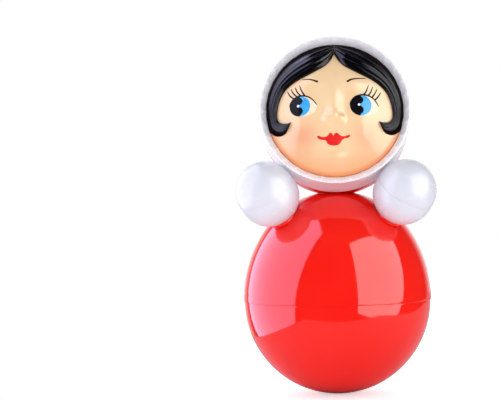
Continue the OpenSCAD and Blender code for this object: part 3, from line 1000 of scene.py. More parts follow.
@dataclass
class Bonnet:
    """White bonnet edge: a waisted skirt, a rolled front edge and a fluted funnel."""

    sizes: DollSizes
    palette: Palette
    waist_dip: float = 0.9
    waist_sweep: float = 1.85
    waist_steps: int = 36
    edge_r: float = 0.8
    edge_start: float = -50.0
    edge_sweep: float = 190.0
    edge_steps: int = 20
    lip_rise: float = 2.1
    lip_gap: float = 0.3
    lip_slack: float = 0.01
    funnel_crown: float = 0.6
    funnel_steps: int = 16
    ledge_t: float = 2.0
    ledge_w: float = 3.0
    flutes: int = 32
    flute_depth: float = 0.85
    flute_half_w: float = 3.7
    flute_root: float = 0.35
    flute_run: float = 1.2
    flute_end: Pair = (1.1, 0.2)
    pleats_per_flute: int = 4
    pleat_depth: float = 0.24
    pleat_run: float = 3.0
    funnel_pleat: float = 0.3
    steps_per_pleat: int = 6

    def build(self) -> list[Piece]:
        """Builds the ring.

        Returns:
            The piece, in a list.
        """
        s = self.sizes
        inner_r = s.head_seam_r - s.bonnet_wall
        skirt_r, skirt_z = s.head_seam_r + s.skirt_step, s.head_seam + s.seat_gap
        span = s.brim_z - s.head_seam
        waist_r = (span**2 / 4 + self.waist_dip**2) / (2 * self.waist_dip)
        waist_c = (skirt_r - self.waist_dip + waist_r, s.head_seam + span / 2)
        half_sweep = math.degrees(math.asin(span / 2 / waist_r))
        edge_c = (s.head_r + s.brim_out - self.edge_r, s.brim_z - self.edge_r)
        start = math.radians(self.edge_start)
        funnel_r = s.mask_r + s.glue_gap
        ledge_r = funnel_r - self.ledge_w
        ledge_z = s.mask_z - s.mask_wall - s.seat_gap
        ring = Lathe(inner_r, skirt_z).line(skirt_r, skirt_z)
        ring.arc(*waist_c, -self.waist_sweep * half_sweep, self.waist_steps)
        ring.line(
            edge_c[0] + self.edge_r * math.cos(start), edge_c[1] + self.edge_r * math.sin(start)
        )
        ring.arc(*edge_c, self.edge_sweep, self.edge_steps)
        self.funnel(ring)
        ring.line(funnel_r, s.mask_z).line(funnel_r, ledge_z).line(ledge_r, ledge_z)
        ring.line(ledge_r, ledge_z - self.ledge_t).line(inner_r, ledge_z - self.ledge_t)
        ring.close().turn(self.flutes * self.pleats_per_flute * self.steps_per_pleat)
        self.flute(ring, edge_c)
        return [
            ring.set_down("bonnet", s.head_frame(), self.palette.white, Slot.WHITE, ["bonnet_ring"])
        ]

    def lip(self) -> Point:
        """Radius and height of the funnel's inner lip, just clear of the mask's shoulder.

        Returns:
            The lip, in the head's frame.
        """
        s = self.sizes
        relief = FaceRelief(s.mask_r, s.bulge_share * s.mask_r, 0.0)
        run = (1 - relief.shoulder) * self.lip_rise / (relief.bulge * relief.shoulder_rise)
        return (s.mask_r * (1 - run) + self.lip_gap, s.mask_z + self.lip_rise)

    def funnel(self, ring: Lathe) -> None:
        """Draws the funnel from the front edge down to its lip, a little crowned.

        Args:
            ring: The ring's outline, drawn up to the front edge.
        """
        top, (lip_r, lip_z) = ring.tip.co.copy(), self.lip()
        for k in range(1, self.funnel_steps + 1):
            share = k / self.funnel_steps
            rounded = 1 - math.cos(math.pi / 2 * share)
            drop = (1 - self.funnel_crown) * share + self.funnel_crown * rounded
            ring.line(top.x + (lip_r - top.x) * share, top.z + (lip_z - top.z) * drop)

    def flute(self, ring: Lathe, edge_c: Point) -> None:
        """Hollows the flutes into the funnel and pleats its front edge.

        Args:
            ring: The turned ring.
            edge_c: Radius and height of the rounded front edge's centre.
        """
        pitch = math.tau / self.flutes
        lip_z = self.lip()[1]
        edge_r, edge_z = edge_c
        fade_start, fade_end = (edge_r - inset for inset in self.flute_end)
        for v in ring.bm.verts:
            r = math.hypot(v.co.x, v.co.y)
            angle = math.atan2(v.co.y, v.co.x)
            wave = 0.5 - 0.5 * math.cos(angle * self.flutes * self.pleats_per_flute)
            pleat = self.pleat_depth * wave
            if r > edge_r:
                out = -pleat * eased(edge_z - self.pleat_run, edge_z, v.co.z)
            elif v.co.z > lip_z - self.lip_slack:
                off = ((angle / pitch) % 1 - 0.5) * pitch * r
                hollow = self.flute_depth * max(0.0, 1 - (off / self.flute_half_w) ** 2)
                grown = eased(lip_z, lip_z + self.flute_run, v.co.z)
                hollow *= self.flute_root + (1 - self.flute_root) * grown
                open_end = 1 - eased(fade_start, fade_end, r)
                out = (hollow + pleat * self.funnel_pleat) * open_end
            else:
                continue
            v.co.x *= 1 + out / r
            v.co.y *= 1 + out / r


@dataclass(frozen=True)
class Curve:
    """A smooth open curve through points on the face, in millimetres from the mask's middle."""

    points: tuple[Point, ...]

    def at(self, share: float) -> Vector:
        """Point on the curve.

        Args:
            share: Place along it, 0 at its start and 1 at its end.

        Returns:
            The point.
        """
        last = len(self.points) - 1
        place = min(max(share, 0.0), 1.0) * last
        i = min(int(place), last - 1)
        t = place - i
        a, b, c, d = (Vector(self.points[min(max(k, 0), last)]) for k in (i - 1, i, i + 1, i + 2))
        bend = 2 * a - 5 * b + 4 * c - d
        twist = 3 * b - a - 3 * c + d
        return (2 * b + (c - a) * t + bend * t**2 + twist * t**3) / 2

    def moved(self, x: float, y: float) -> "Curve":
        """The same curve moved over the face."""
        return Curve(tuple((px + x, py + y) for px, py in self.points))


@dataclass(frozen=True)
class Stroke:
    """A brush stroke along a curve, with its own width at the start, the middle and the end."""

    path: Curve
    widths: Triple
    tip_power: int = 12
    look_ahead: float = 0.01

    def edge(self, sign: int) -> Edge:
        """One edge of the stroke.

        Args:
            sign: 1 for the edge on the left of its run, -1 for the other.

        Returns:
            A function from the share along the stroke to the edge's point.
        """

        def at(share: float) -> Vector:
            """Point on the edge."""
            ahead = self.path.at(min(share + self.look_ahead, 1.0))
            run = ahead - self.path.at(max(share - self.look_ahead, 0.0))
            across = Vector((-run.y, run.x)).normalized()
            half = int(share >= 0.5)
            low, high = self.widths[half : half + 2]
            width = low + (high - low) * (2 * share - half)
            tip = math.sqrt(max(0.0, 1 - (2 * share - 1) ** self.tip_power))
            return self.path.at(share) + across * sign * width * tip / 2

        return at


@dataclass(frozen=True)
class Bump:
    """A soft rise or hollow of the face, its place and spreads as shares of the mask's radius."""

    x: float
    y: float
    spread_x: float
    spread_y: float
    rise: float

    def at(self, x: float, y: float) -> float:
        """Rise at a point of the face, as a share of the nose's."""
        across, up = (x - self.x) / self.spread_x, (y - self.y) / self.spread_y
        return self.rise * math.exp(-(across**2) - up**2)


@dataclass(frozen=True)
class FaceRelief:
    """The moulded face: a cap inside a steep shoulder, with nose, lips, chin, cheeks and eyes."""

    mask_r: float
    bulge: float
    nose_h: float
    dome_power: float = 2.4
    shoulder: float = 0.968
    shoulder_rise: float = 0.16
    nose: tuple[Bump, ...] = (
        Bump(-0.015, -0.175, 0.085, 0.1, 0.72),
        Bump(-0.015, 0.05, 0.09, 0.225, 0.28),
        Bump(-0.123, -0.21, 0.055, 0.055, 0.48),
        Bump(0.093, -0.21, 0.055, 0.055, 0.48),
        Bump(-0.015, -0.325, 0.075, 0.06, -0.14),
    )
    mouth: tuple[Bump, ...] = (
        Bump(-0.023, -0.455, 0.163, 0.055, 0.28),
        Bump(-0.023, -0.545, 0.125, 0.055, 0.3),
        Bump(-0.023, -0.635, 0.15, 0.045, -0.14),
    )
    chin: Bump = Bump(-0.023, -0.74, 0.16, 0.11, 0.58)
    cheeks: tuple[Bump, ...] = (
        Bump(-0.45, -0.375, 0.225, 0.213, 0.5),
        Bump(0.425, -0.375, 0.225, 0.213, 0.5),
    )
    eyes: tuple[Bump, ...] = (
        Bump(-0.225, 0.013, 0.1, 0.15, -0.22),
        Bump(0.19, 0.013, 0.1, 0.15, -0.22),
        Bump(-0.463, 0.0, 0.175, 0.15, 0.4),
        Bump(0.4, 0.0, 0.175, 0.15, 0.4),
    )
    brows: tuple[Bump, ...] = (
        Bump(-0.325, 0.325, 0.2, 0.075, 0.11),
        Bump(0.288, 0.325, 0.2, 0.075, 0.11),
    )

    def dome(self, r: float) -> float:
        """Height of the plain dome.

        Args:
            r: Distance from the mask's middle.

        Returns:
            The height over the rim.
        """
        share = r / self.mask_r
        if share > self.shoulder:
            return self.bulge * self.shoulder_rise * max(0.0, 1 - share) / (1 - self.shoulder)
        fall = (1 - self.shoulder_rise) * (share / self.shoulder) ** self.dome_power
        return self.bulge * (1 - fall)

    def fade(self, x: float, y: float) -> float:
        """Share of the relief that is left on the way from the shoulder to the rim."""
        return min(1.0, max(0.0, (1 - math.hypot(x, y) / self.mask_r) / (1 - self.shoulder)))

    def relief(self, x: float, y: float) -> float:
        """Height of the moulded features over the plain dome.

        Args:
            x: Place across the face.
            y: Place up the face.

        Returns:
            The height.
        """
        bumps = (*self.nose, *self.mouth, self.chin, *self.cheeks, *self.eyes, *self.brows)
        rise = sum(b.at(x / self.mask_r, y / self.mask_r) for b in bumps)
        return self.fade(x, y) * self.nose_h * rise

    def skin(self, x: float, y: float) -> float:
        """Height of the skin over the mask's rim."""
        return self.dome(math.hypot(x, y)) + self.relief(x, y)


@dataclass(frozen=True)
class EyePaint:
    """One painted eye: its place, its lid and its lashes."""

    name: str
    x: float
    y: float
    iris_r: float
    lid: Curve
    floor: Curve
    lashes: tuple[Curve, ...]


@dataclass(frozen=True)
class Coat:
    """A film of paint: the faces along and across it, and its thickness."""

    along: int
    across: int
    lift: float


@dataclass(frozen=True)
class SprayAndShade:
    """Warm spray and painted shade round the lower rim, over a span of the radius and of the drop.
    """

    ring: Pair
    drop: Pair
    cover: float

    def at(self, share: float, drop: float) -> float:
        """Cover at a share of the mask's radius and a drop below its middle."""
        return self.cover * eased(*self.ring, share) * eased(*self.drop, drop)


@dataclass
class Face:
    """Moulded mask with parted hair, painted brows, side-glancing eyes, lashes, lips and blush."""

    sizes: DollSizes
    palette: Palette
    relief: FaceRelief = field(init=False)
    rings: int = 110
    ring_power: float = 0.9
    shoulder_rings: int = 6
    back_rings: int = 16
    spokes: int = 288
    mask_crease: float = 60.0
    skin_match: float = 0.01
    rim_ease: Pair = (-0.004, 0.012)
    rim_warmth: float = 0.8
    sprays_and_shade: tuple[SprayAndShade, ...] = (
        SprayAndShade((0.55, 0.95), (4.0, 36.0), 0.55), SprayAndShade((0.9, 0.96), (0.0, 14.0), 0.45),
    )
    cheeks: tuple[Bump, ...] = (
        Bump(-0.46, -0.43, 0.2, 0.19, 0.6), Bump(0.45, -0.45, 0.2, 0.19, 0.42),
    )
    film_root: float = 0.15
    hair_root: float = 0.3
    hair_edge: float = 1.5
    hair_roll: float = 0.22
    hair_step: float = 0.74
    hair_steps: int = 150
    hair_strips: int = 42
    hair_coat: float = 0.03
    # Faces and lift of the painted shade along the hair's outer edge.
    shade_strips: int = 12
    shade_coat: float = 0.08
    comb_depth: float = 0.14
    comb_waves: float = 38.0
    comb_sway: Pair = (4.0, 5.0)
    ridge_h: float = 0.3
    ridge_w: float = 0.4
    curl_span: Pair = (0.78, 0.86)
    glint_r: float = 0.72
    glint_x: float = -1.0
    pupil_overlap: float = 0.05
    brow_widths: Triple = (0.4, 0.75, 1.35)
    lid_widths: Triple = (0.6, 1.0, 0.5)
    lash_widths: Triple = (1.0, 0.75, 0.4)
    brow_coat: Coat = Coat(28, 3, 0.06)
    lip_coat: Coat = Coat(90, 14, 0.08)
    white_coat: Coat = Coat(40, 24, 0.04)
    iris_coat: Coat = Coat(40, 24, 0.08)
    pupil_coat: Coat = Coat(60, 20, 0.12)
    glint_coat: Coat = Coat(16, 10, 0.17)
    lid_coat: Coat = Coat(44, 3, 0.15)
    lash_coat: Coat = Coat(20, 3, 0.06)
    hair_inner: Curve = Curve((
        (0.2, 31.8), (1.9, 28.1), (4.7, 24.6), (8.6, 22.0), (13.0, 19.6), (17.4, 17.4),
        (21.7, 15.2), (25.4, 12.7), (28.6, 9.6), (30.7, 6.0), (32.0, 2.1), (32.7, -1.8),
        (32.8, -4.8), (32.1, -7.2), (30.4, -8.6), (28.2, -9.1), (26.4, -9.2), (24.9, -8.9),
    ))
    hair_outer: Curve = Curve((
        (0.1, 39.5), (4.5, 39.3), (9.3, 38.5), (14.2, 36.9), (19.0, 34.7), (23.4, 31.9),
        (27.3, 28.7), (30.8, 24.8), (33.8, 20.6), (36.2, 16.0), (37.9, 11.2), (39.0, 6.2),
        (39.5, 1.0), (39.2, -5.0), (37.5, -12.0), (33.0, -15.6), (28.2, -14.9), (24.9, -8.9),
    ))
    black_right: Curve = Curve((
        (-0.3, 5.6), (1.15, 4.1), (1.6, 2.7), (1.0, 1.45), (0.0, 0.7), (-0.75, 0.05), (0.1, -0.65),
        (1.3, -1.75), (1.65, -3.1), (1.0, -4.5), (-0.4, -5.6),
    ))
    brows: tuple[Curve, ...] = (
        Curve(((-18.5, 16.0), (-14.7, 15.9), (-12.1, 15.1), (-9.3, 13.8))),
        Curve(((17.9, 16.1), (14.0, 16.0), (9.8, 15.2), (7.0, 13.6))),
    )
    lip_top: Curve = Curve((
        (-10.3, -18.1), (-9.1, -17.8), (-7.7, -18.5), (-6.1, -18.6), (-4.9, -18.3), (-4.0, -17.6),
        (-3.4, -16.7), (-2.6, -16.3), (-1.7, -16.9), (-1.05, -18.0), (-0.4, -17.0), (0.7, -16.3),
        (1.7, -16.8), (2.5, -17.5), (3.5, -18.2), (5.3, -18.3), (6.8, -17.8), (8.4, -17.4),
    ))
    lip_bottom: Curve = Curve((
        (-10.3, -18.4), (-9.6, -19.3), (-8.3, -19.95), (-7.0, -20.1), (-5.7, -20.4), (-5.0, -21.1),
        (-4.3, -22.3), (-2.9, -23.1), (-1.9, -23.3), (-1.1, -23.4), (-0.35, -23.4), (0.6, -23.3),
        (1.8, -22.9), (2.9, -22.0), (4.2, -20.2), (5.7, -19.35), (7.0, -19.3), (8.4, -18.4),
    ))
    eyes: tuple[EyePaint, ...] = (
        EyePaint(
            "left_eye", -19.75, -0.4, 5.85,
            Curve((
                (-25.8, -0.2), (-25.0, 2.1), (-23.6, 4.0), (-21.8, 5.3), (-20.0, 5.8), (-17.6, 5.7),
                (-15.3, 5.0), (-13.3, 3.8), (-11.7, 2.3), (-10.0, 0.0),
            )),
            Curve((
                (-25.8, -0.2), (-25.2, -2.6), (-23.6, -4.7), (-21.8, -5.8), (-20.0, -6.2),
                (-17.6, -6.3), (-15.3, -5.9), (-13.0, -5.1), (-11.0, -3.6), (-10.0, 0.0),
            )),
            (
                Curve(((-23.4, 4.7), (-25.5, 6.8), (-26.9, 9.6))),
                Curve(((-21.4, 5.5), (-23.5, 7.9), (-24.8, 10.9))),
                Curve(((-19.3, 5.9), (-21.3, 8.5), (-22.4, 11.6))),
                Curve(((-16.9, 5.6), (-18.8, 9.1), (-19.9, 12.5))),
            ),
        ),
        EyePaint(
            "right_eye", 14.75, -0.4, 6.1,
            Curve((
                (8.5, -0.4), (9.2, 1.8), (11.0, 3.8), (13.8, 5.3), (16.0, 5.8), (18.7, 5.5),
                (20.8, 4.6), (22.4, 3.4), (23.8, 1.5), (25.0, -0.7),
            )),
            Curve((
                (8.5, -0.4), (9.0, -2.7), (10.8, -4.8), (13.6, -6.2), (16.0, -6.5), (18.4, -6.3),
                (20.6, -5.7), (22.8, -4.7), (24.4, -3.0), (25.0, -0.7),
            )),
            (
                Curve(((16.4, 5.6), (18.0, 8.2), (19.4, 12.2))),
                Curve(((19.1, 5.4), (20.7, 8.1), (21.7, 11.3))),
                Curve(((21.2, 4.4), (22.9, 7.1), (24.3, 10.2))),
                Curve(((22.9, 3.1), (24.9, 5.6), (26.3, 8.3))),
            ),
        ),
    )

    def __post_init__(self) -> None:
        """Takes the relief's size from the doll's."""
        s = self.sizes
        self.relief = FaceRelief(s.mask_r, s.bulge_share * s.mask_r, s.nose_share * s.mask_r)

    def build(self) -> list[Piece]:
        """Builds the mask and everything painted on it.

        Returns:
            All pieces of the face.
        """
        palette = self.palette
        made = [self.mask()]
        for side in Side:
            made.append(self.hair_lock(side, "hair", 0.0, palette.hair))
            # The hair_edge pieces are dark films of painted shade along the locks' outer edges.
            made.append(self.hair_lock(side, "hair_edge", self.hair_step, palette.dull))
        for eye in self.eyes:
            made += self.eye(eye)
        for path, name in zip(self.brows, ("left_brow", "right_brow")):
            brow = Stroke(path, self.brow_widths)
            made.append(
                self.film(name, brow.edge(1), brow.edge(-1), self.brow_coat, palette.black)
            )
        made.append(
            self.film("lips", self.lip_top.at, self.lip_bottom.at, self.lip_coat, palette.lips)
        )
        return made

    def frame(self) -> Matrix:
        """Placement of the mask's rim plane, in millimetres."""
        return self.sizes.head_frame() @ Matrix.Translation((0, 0, self.sizes.mask_z))

    def mask(self) -> Piece:
        """The skin with its rim and its hollow back.

        Returns:
            The piece.
        """
        s, relief = self.sizes, self.relief
        back_r = s.mask_r - s.mask_wall
        cap_r = relief.shoulder * s.mask_r
        skin = Lathe(0, relief.dome(0))
        for k in range(1, self.rings + 1):
            r = cap_r * (k / self.rings) ** self.ring_power
            skin.line(r, relief.dome(r))
        for k in range(1, self.shoulder_rings + 1):
            r = cap_r + (s.mask_r - cap_r) * k / self.shoulder_rings
            skin.line(r, relief.dome(r))
        skin.line(s.mask_r, -s.mask_wall).line(back_r, -s.mask_wall)
        for k in reversed(range(self.back_rings)):
            share = math.sin(math.pi / 2 * k / self.back_rings)
            skin.line(back_r * share, relief.dome(s.mask_r * share) - s.mask_wall)
        skin.turn(self.spokes)
        self.raise_spray_and_shade(skin)
        return skin.set_down(
            "face_skin", self.frame(), self.palette.skin, Slot.FACE, ["face_mask"], self.mask_crease
        )

    def raise_spray_and_shade(self, skin: Lathe) -> None:
        """Raises the features of the plain mask and sprays its warm rim, partly painted shade, and
        its blush.

        Args:
            skin: The turned mask.
        """
        s, relief = self.sizes, self.relief
        rim_start, rim_end = (relief.shoulder + ease for ease in self.rim_ease)
        warmth = skin.bm.verts.layers.float.new("warmth")
        blush = skin.bm.verts.layers.float.new("blush")
        for v in skin.bm.verts:
            x, y = v.co.x, v.co.y
            r = math.hypot(x, y)
            if abs(v.co.z - relief.dome(r)) < self.skin_match:
                v.co.z += relief.relief(x, y)
            # Warmth at the steep shoulder and low on the mask is part spray, part painted shade
            # where the mask turns away.
            rim = eased(rim_start, rim_end, r / s.mask_r)
            sprayed = sum(spray.at(r / s.mask_r, -y) for spray in self.sprays_and_shade)
            v[warmth] = min(1.0, self.rim_warmth * rim + sprayed)
            v[blush] = sum(b.at(x / s.mask_r, y / s.mask_r) for b in self.cheeks) * (1 - rim)

    def sheet(self, edge_a: Edge, edge_b: Edge, along: int, across: int) -> Workpiece:
        """Flat sheet of the face between two edges, with its own along and across shares.

        Args:
            edge_a: First edge.
            edge_b: Second edge.
            along: Faces along the edges.
            across: Faces from one edge to the other.

        Returns:
            The sheet, in the mask's rim plane.
        """
        sheet = Workpiece()
        bmesh.ops.create_grid(sheet.bm, x_segments=along, y_segments=across, size=1.0)
        along_layer = sheet.bm.verts.layers.float.new("along")
        across_layer = sheet.bm.verts.layers.float.new("across")
        for v in sheet.bm.verts:
            v[along_layer], v[across_layer] = (v.co.x + 1) / 2, (v.co.y + 1) / 2
            point = edge_a(v[along_layer]).lerp(edge_b(v[along_layer]), v[across_layer])
            v.co = (point.x, point.y, 0)
        return sheet

    def thicken(
        self, sheet: Workpiece, rise: Callable[[bmesh.types.BMVert], float], root: float
    ) -> None:
        """Lays a flat sheet on the skin and gives it its thickness.

        Args:
            sheet: Flat sheet to lay down.
            rise: Height over the skin of each point.
            root: Depth of its underside in the skin.
        """
        tops = sheet.bm.verts[:]
        grown = bmesh.ops.extrude_face_region(sheet.bm, geom=sheet.bm.faces[:])
        for g in grown["geom"]:
            if isinstance(g, bmesh.types.BMVert):
                g.co.z = self.relief.skin(g.co.x, g.co.y) - root
        for v in tops:
            v.co.z = self.relief.skin(v.co.x, v.co.y) + rise(v)
        sheet.close_up()

    def film(self, name: str, edge_a: Edge, edge_b: Edge, coat: Coat, finish: Material) -> Piece:
        """A film of paint on the skin between two edges.

        Args:
            name: Name of the piece.
            edge_a: First edge.
            edge_b: Second edge.
            coat: Its faces and its thickness.
            finish: Its paint.

        Returns:
            The piece.
        """
        sheet = self.sheet(edge_a, edge_b, coat.along, coat.across)
        self.thicken(sheet, lambda v: coat.lift, self.film_root)
        return sheet.set_down(name, self.frame(), finish, Slot.FACE)

    def hair_lock(self, side: Side, word: str, start: float, finish: Material) -> Piece:
        """One half of the parted hair, or the strip of painted shade along its outer edge.

        Args:
            side: Which half.
            word: First word of the piece's name.
            start: Share of the lock's width at which the piece starts.
            finish: Its paint.

        Returns:
            The piece.
        """
        coat = self.shade_coat if start else self.hair_coat
        strips = self.shade_strips if start else self.hair_strips

        def inner_edge(share: float) -> Vector:
            """Point on the edge at which the piece starts."""
            return self.hair_inner.at(share).lerp(self.hair_outer.at(share), start)

        sheet = self.sheet(inner_edge, self.hair_outer.at, self.hair_steps, strips)
        along = sheet.bm.verts.layers.float["along"]
        across = sheet.bm.verts.layers.float["across"]
        for v in sheet.bm.verts:
            v.co.x *= side.value
            v[across] = start + (1 - start) * v[across]

        def rise(v: bmesh.types.BMVert) -> float:
            """Height of the combed hair over the skin."""
            fade = self.relief.fade(v.co.x, v.co.y)
            return coat + self.hair_rise(v[along], v[across]) * fade

        self.thicken(sheet, rise, self.hair_root)
        return sheet.set_down(f"{word}_{side.name.lower()}", self.frame(), finish, Slot.FACE)

    def hair_rise(self, along: float, across: float) -> float:
        """Height of a lock: its rounded edge, its roll, the comb's waves and the ridge.

        Args:
            along: Share of the way from the parting to the curl.
            across: Share of the way from the face to the outer edge.

        Returns:
            The height over the skin, before it fades at the mask's shoulder.
        """
        width = (self.hair_outer.at(along) - self.hair_inner.at(along)).length
        inner = min(across * width / self.hair_edge, 1.0)
        outer = min((1 - across) * width / self.hair_edge, 1.0)
        edge = math.sqrt(1 - (1 - inner) ** 2)
        curl = 1 + (math.sqrt(1 - (1 - outer) ** 2) - 1) * eased(*self.curl_span, along)
        sway, sway_waves = self.comb_sway
        comb = math.sin(across * self.comb_waves + sway * math.sin(along * sway_waves))
        ridge = math.exp(-(((across - self.hair_step) * width / self.ridge_w) ** 2))
        waves = (self.comb_depth * comb + self.ridge_h * ridge) * inner * outer
        roll = self.hair_roll * width * math.sin(math.pi * across)
        return (self.sizes.hair_h + roll + waves) * edge * curl

    def eye(self, eye: EyePaint) -> list[Piece]:
        """One eye, painted in layers from its white to its glint, with its lid and lashes.

        Args:
            eye: The eye's place and lines.

        Returns:
            The pieces of the eye.
        """
        palette = self.palette

        def half_disc(radius: float, side: Side, x: float = 0.0) -> Edge:
            """Half of a round outline, from its top to its bottom."""
            middle, reach = Vector((eye.x + x, eye.y)), side.value * radius
            return lambda share: middle + Vector(
                (reach * math.sin(math.pi * share), radius * math.cos(math.pi * share))
            )

        black_r = eye.iris_r + self.pupil_overlap
        black_edge = self.black_right.moved(eye.x, eye.y)
        glint = [half_disc(self.glint_r, side, self.glint_x) for side in Side]
        iris = [half_disc(eye.iris_r, side) for side in Side]
        pupil = (half_disc(black_r, Side.LEFT), black_edge.at)
        lid = Stroke(eye.lid, self.lid_widths)
        layers = [
            ("white", (eye.lid.at, eye.floor.at), self.white_coat, palette.cream),
            ("iris", iris, self.iris_coat, palette.blue),
            ("pupil", pupil, self.pupil_coat, palette.black),
            ("glint", glint, self.glint_coat, palette.dot),
            ("lid", (lid.edge(1), lid.edge(-1)), self.lid_coat, palette.black),
        ]
        for k, path in enumerate(eye.lashes, 1):
            lash = Stroke(path, self.lash_widths)
            edges = (lash.edge(1), lash.edge(-1))
            layers.append((f"lash_{k}", edges, self.lash_coat, palette.black))
        return [
            self.film(f"{eye.name}_{word}", *edges, coat, finish)
            for word, edges, coat, finish in layers
        ]


@dataclass
class Hands:
    """Two white ball hands, each of two halves, pegged to the shoulders."""

    sizes: DollSizes
    palette: Palette
    steps: int = 128
    ball_steps: int = 44
    flat_ball_steps: int = 40
    hollow_steps: int = 24
    left_ease: float = 0.02
    right_ease: float = 0.16
    peg_reach: float = 25.6
    peg_bevel: float = 0.5

    def build(self) -> list[Piece]:
        """Builds both hands.

        Returns:
            The four halves.
        """
        made = []
        for side, ease in ((Side.LEFT, self.left_ease), (Side.RIGHT, self.right_ease)):
            seam = Matrix.Translation((0, 0, self.sizes.hand_place))
            place = self.sizes.shoulder_frame(side) @ seam
            for shell, half in ((self.inner(), "inner"), (self.outer(), "outer")):
                solid = f"hand_{side.name.lower()}_{half}"
                shell.ease_edges(ease)
                made.append(
                    shell.set_down(f"{solid}_skin", place, self.palette.pearl, Slot.WHITE, [solid])
                )
        return made

    def inner(self) -> Lathe:
        """Half on the shoulder, with its flat and its peg.

        Returns:
            The turned half.
        """
        s = self.sizes
        band = s.hand_band / 2
        inner_r = s.hand_r - s.hand_wall
        swept = math.degrees(math.acos(s.hand_flat_r / s.hand_r))
        half = Lathe(0, -self.peg_reach).line(s.peg_r - self.peg_bevel, -self.peg_reach)
        half.line(s.peg_r, self.peg_bevel - self.peg_reach).line(s.peg_r, -s.hand_foot)
        half.line(s.hand_flat_r, -s.hand_foot).arc(0, -band, swept, self.flat_ball_steps)
        half.line(s.hand_r, 0).line(inner_r, 0).line(inner_r, -band)
        return half.arc(0, -band, -90, self.hollow_steps).turn(self.steps)

    def outer(self) -> Lathe:
        """Half that faces away from the shoulder.

        Returns:
            The turned half.
        """
        s = self.sizes
        foot = s.seat_gap
        band = foot + s.hand_band / 2
        inner_r = s.hand_r - s.hand_wall
        half = Lathe(0, band + inner_r).arc(0, band, -90, self.hollow_steps)
        half.line(inner_r, foot).line(s.hand_r, foot).line(s.hand_r, band)
        return half.arc(0, band, 90, self.ball_steps).turn(self.steps)


@dataclass
class Chime:
    """The weight, plate, rods, arch and striker inside, and the fasteners that hold the doll."""

    palette: Palette
    iron: tuple[str, ...] = ("ballast_weight",)
    steel: tuple[str, ...] = (
        "chime_base", "base_screws", "chime_rod_1", "chime_rod_2", "chime_rod_3", "chime_rod_4",
        "chime_arch", "arch_rivets", "neck_bolt", "neck_nut", "hand_left_retainer",
        "hand_right_retainer",
    )
    brass: tuple[str, ...] = ("hanger_rivet", "swing_link", "striker_rivet", "striker")

    def build(self) -> list[Piece]:
        """Dresses the inner solids.

        Returns:
            The dressed solids.
        """
        palette, made = self.palette, []
        for names, finish in (
            (self.iron, palette.iron), (self.steel, palette.steel), (self.brass, palette.brass)
        ):
            for name in names:
                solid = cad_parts[name]
                for slot in solid.material_slots:
                    slot.material = finish
                made.append(solid)
        return made


@dataclass(frozen=True)
class Softbox:
    """A softbox, hung as one lamp that lights the doll and one that shines in its gloss."""

    name: str
    place: Triple
    aim: Triple
    size: Pair
    light: float
    shine: float = 0.0
    colour: Triple = (1.0, 1.0, 1.0)
    gloss: Triple = (1.0, 1.0, 1.0)
    roll: float = 0.0

    def hang(self) -> None:
        """Hangs the lamps, each with its radiance over the softbox's face."""
        lamps = (("light", self.light, self.colour), ("shine", self.shine, self.gloss))
        for use, radiance, colour in lamps:
            if radiance:
                data = bpy.data.lights.new(f"{self.name}_{use}", "AREA")
                data.shape = "RECTANGLE"
                data.size, data.size_y = self.size
                data.energy = radiance * math.pi * self.size[0] * self.size[1]
                data.color = colour
                data.cycles.use_multiple_importance_sampling = use == "shine"
                lamp = bpy.data.objects.new(data.name, data)
                lamp.location = self.place
                run = Vector(self.aim) - Vector(self.place)
                turned = Quaternion((0, 0, 1), math.radians(self.roll))
                lamp.rotation_euler = (run.to_track_quat("-Z", "Y") @ turned).to_euler()
                lamp.visible_camera = False
                lamp.visible_glossy = use == "shine"
                lamp.visible_diffuse = use == "light"
                bpy.context.scene.collection.objects.link(lamp)


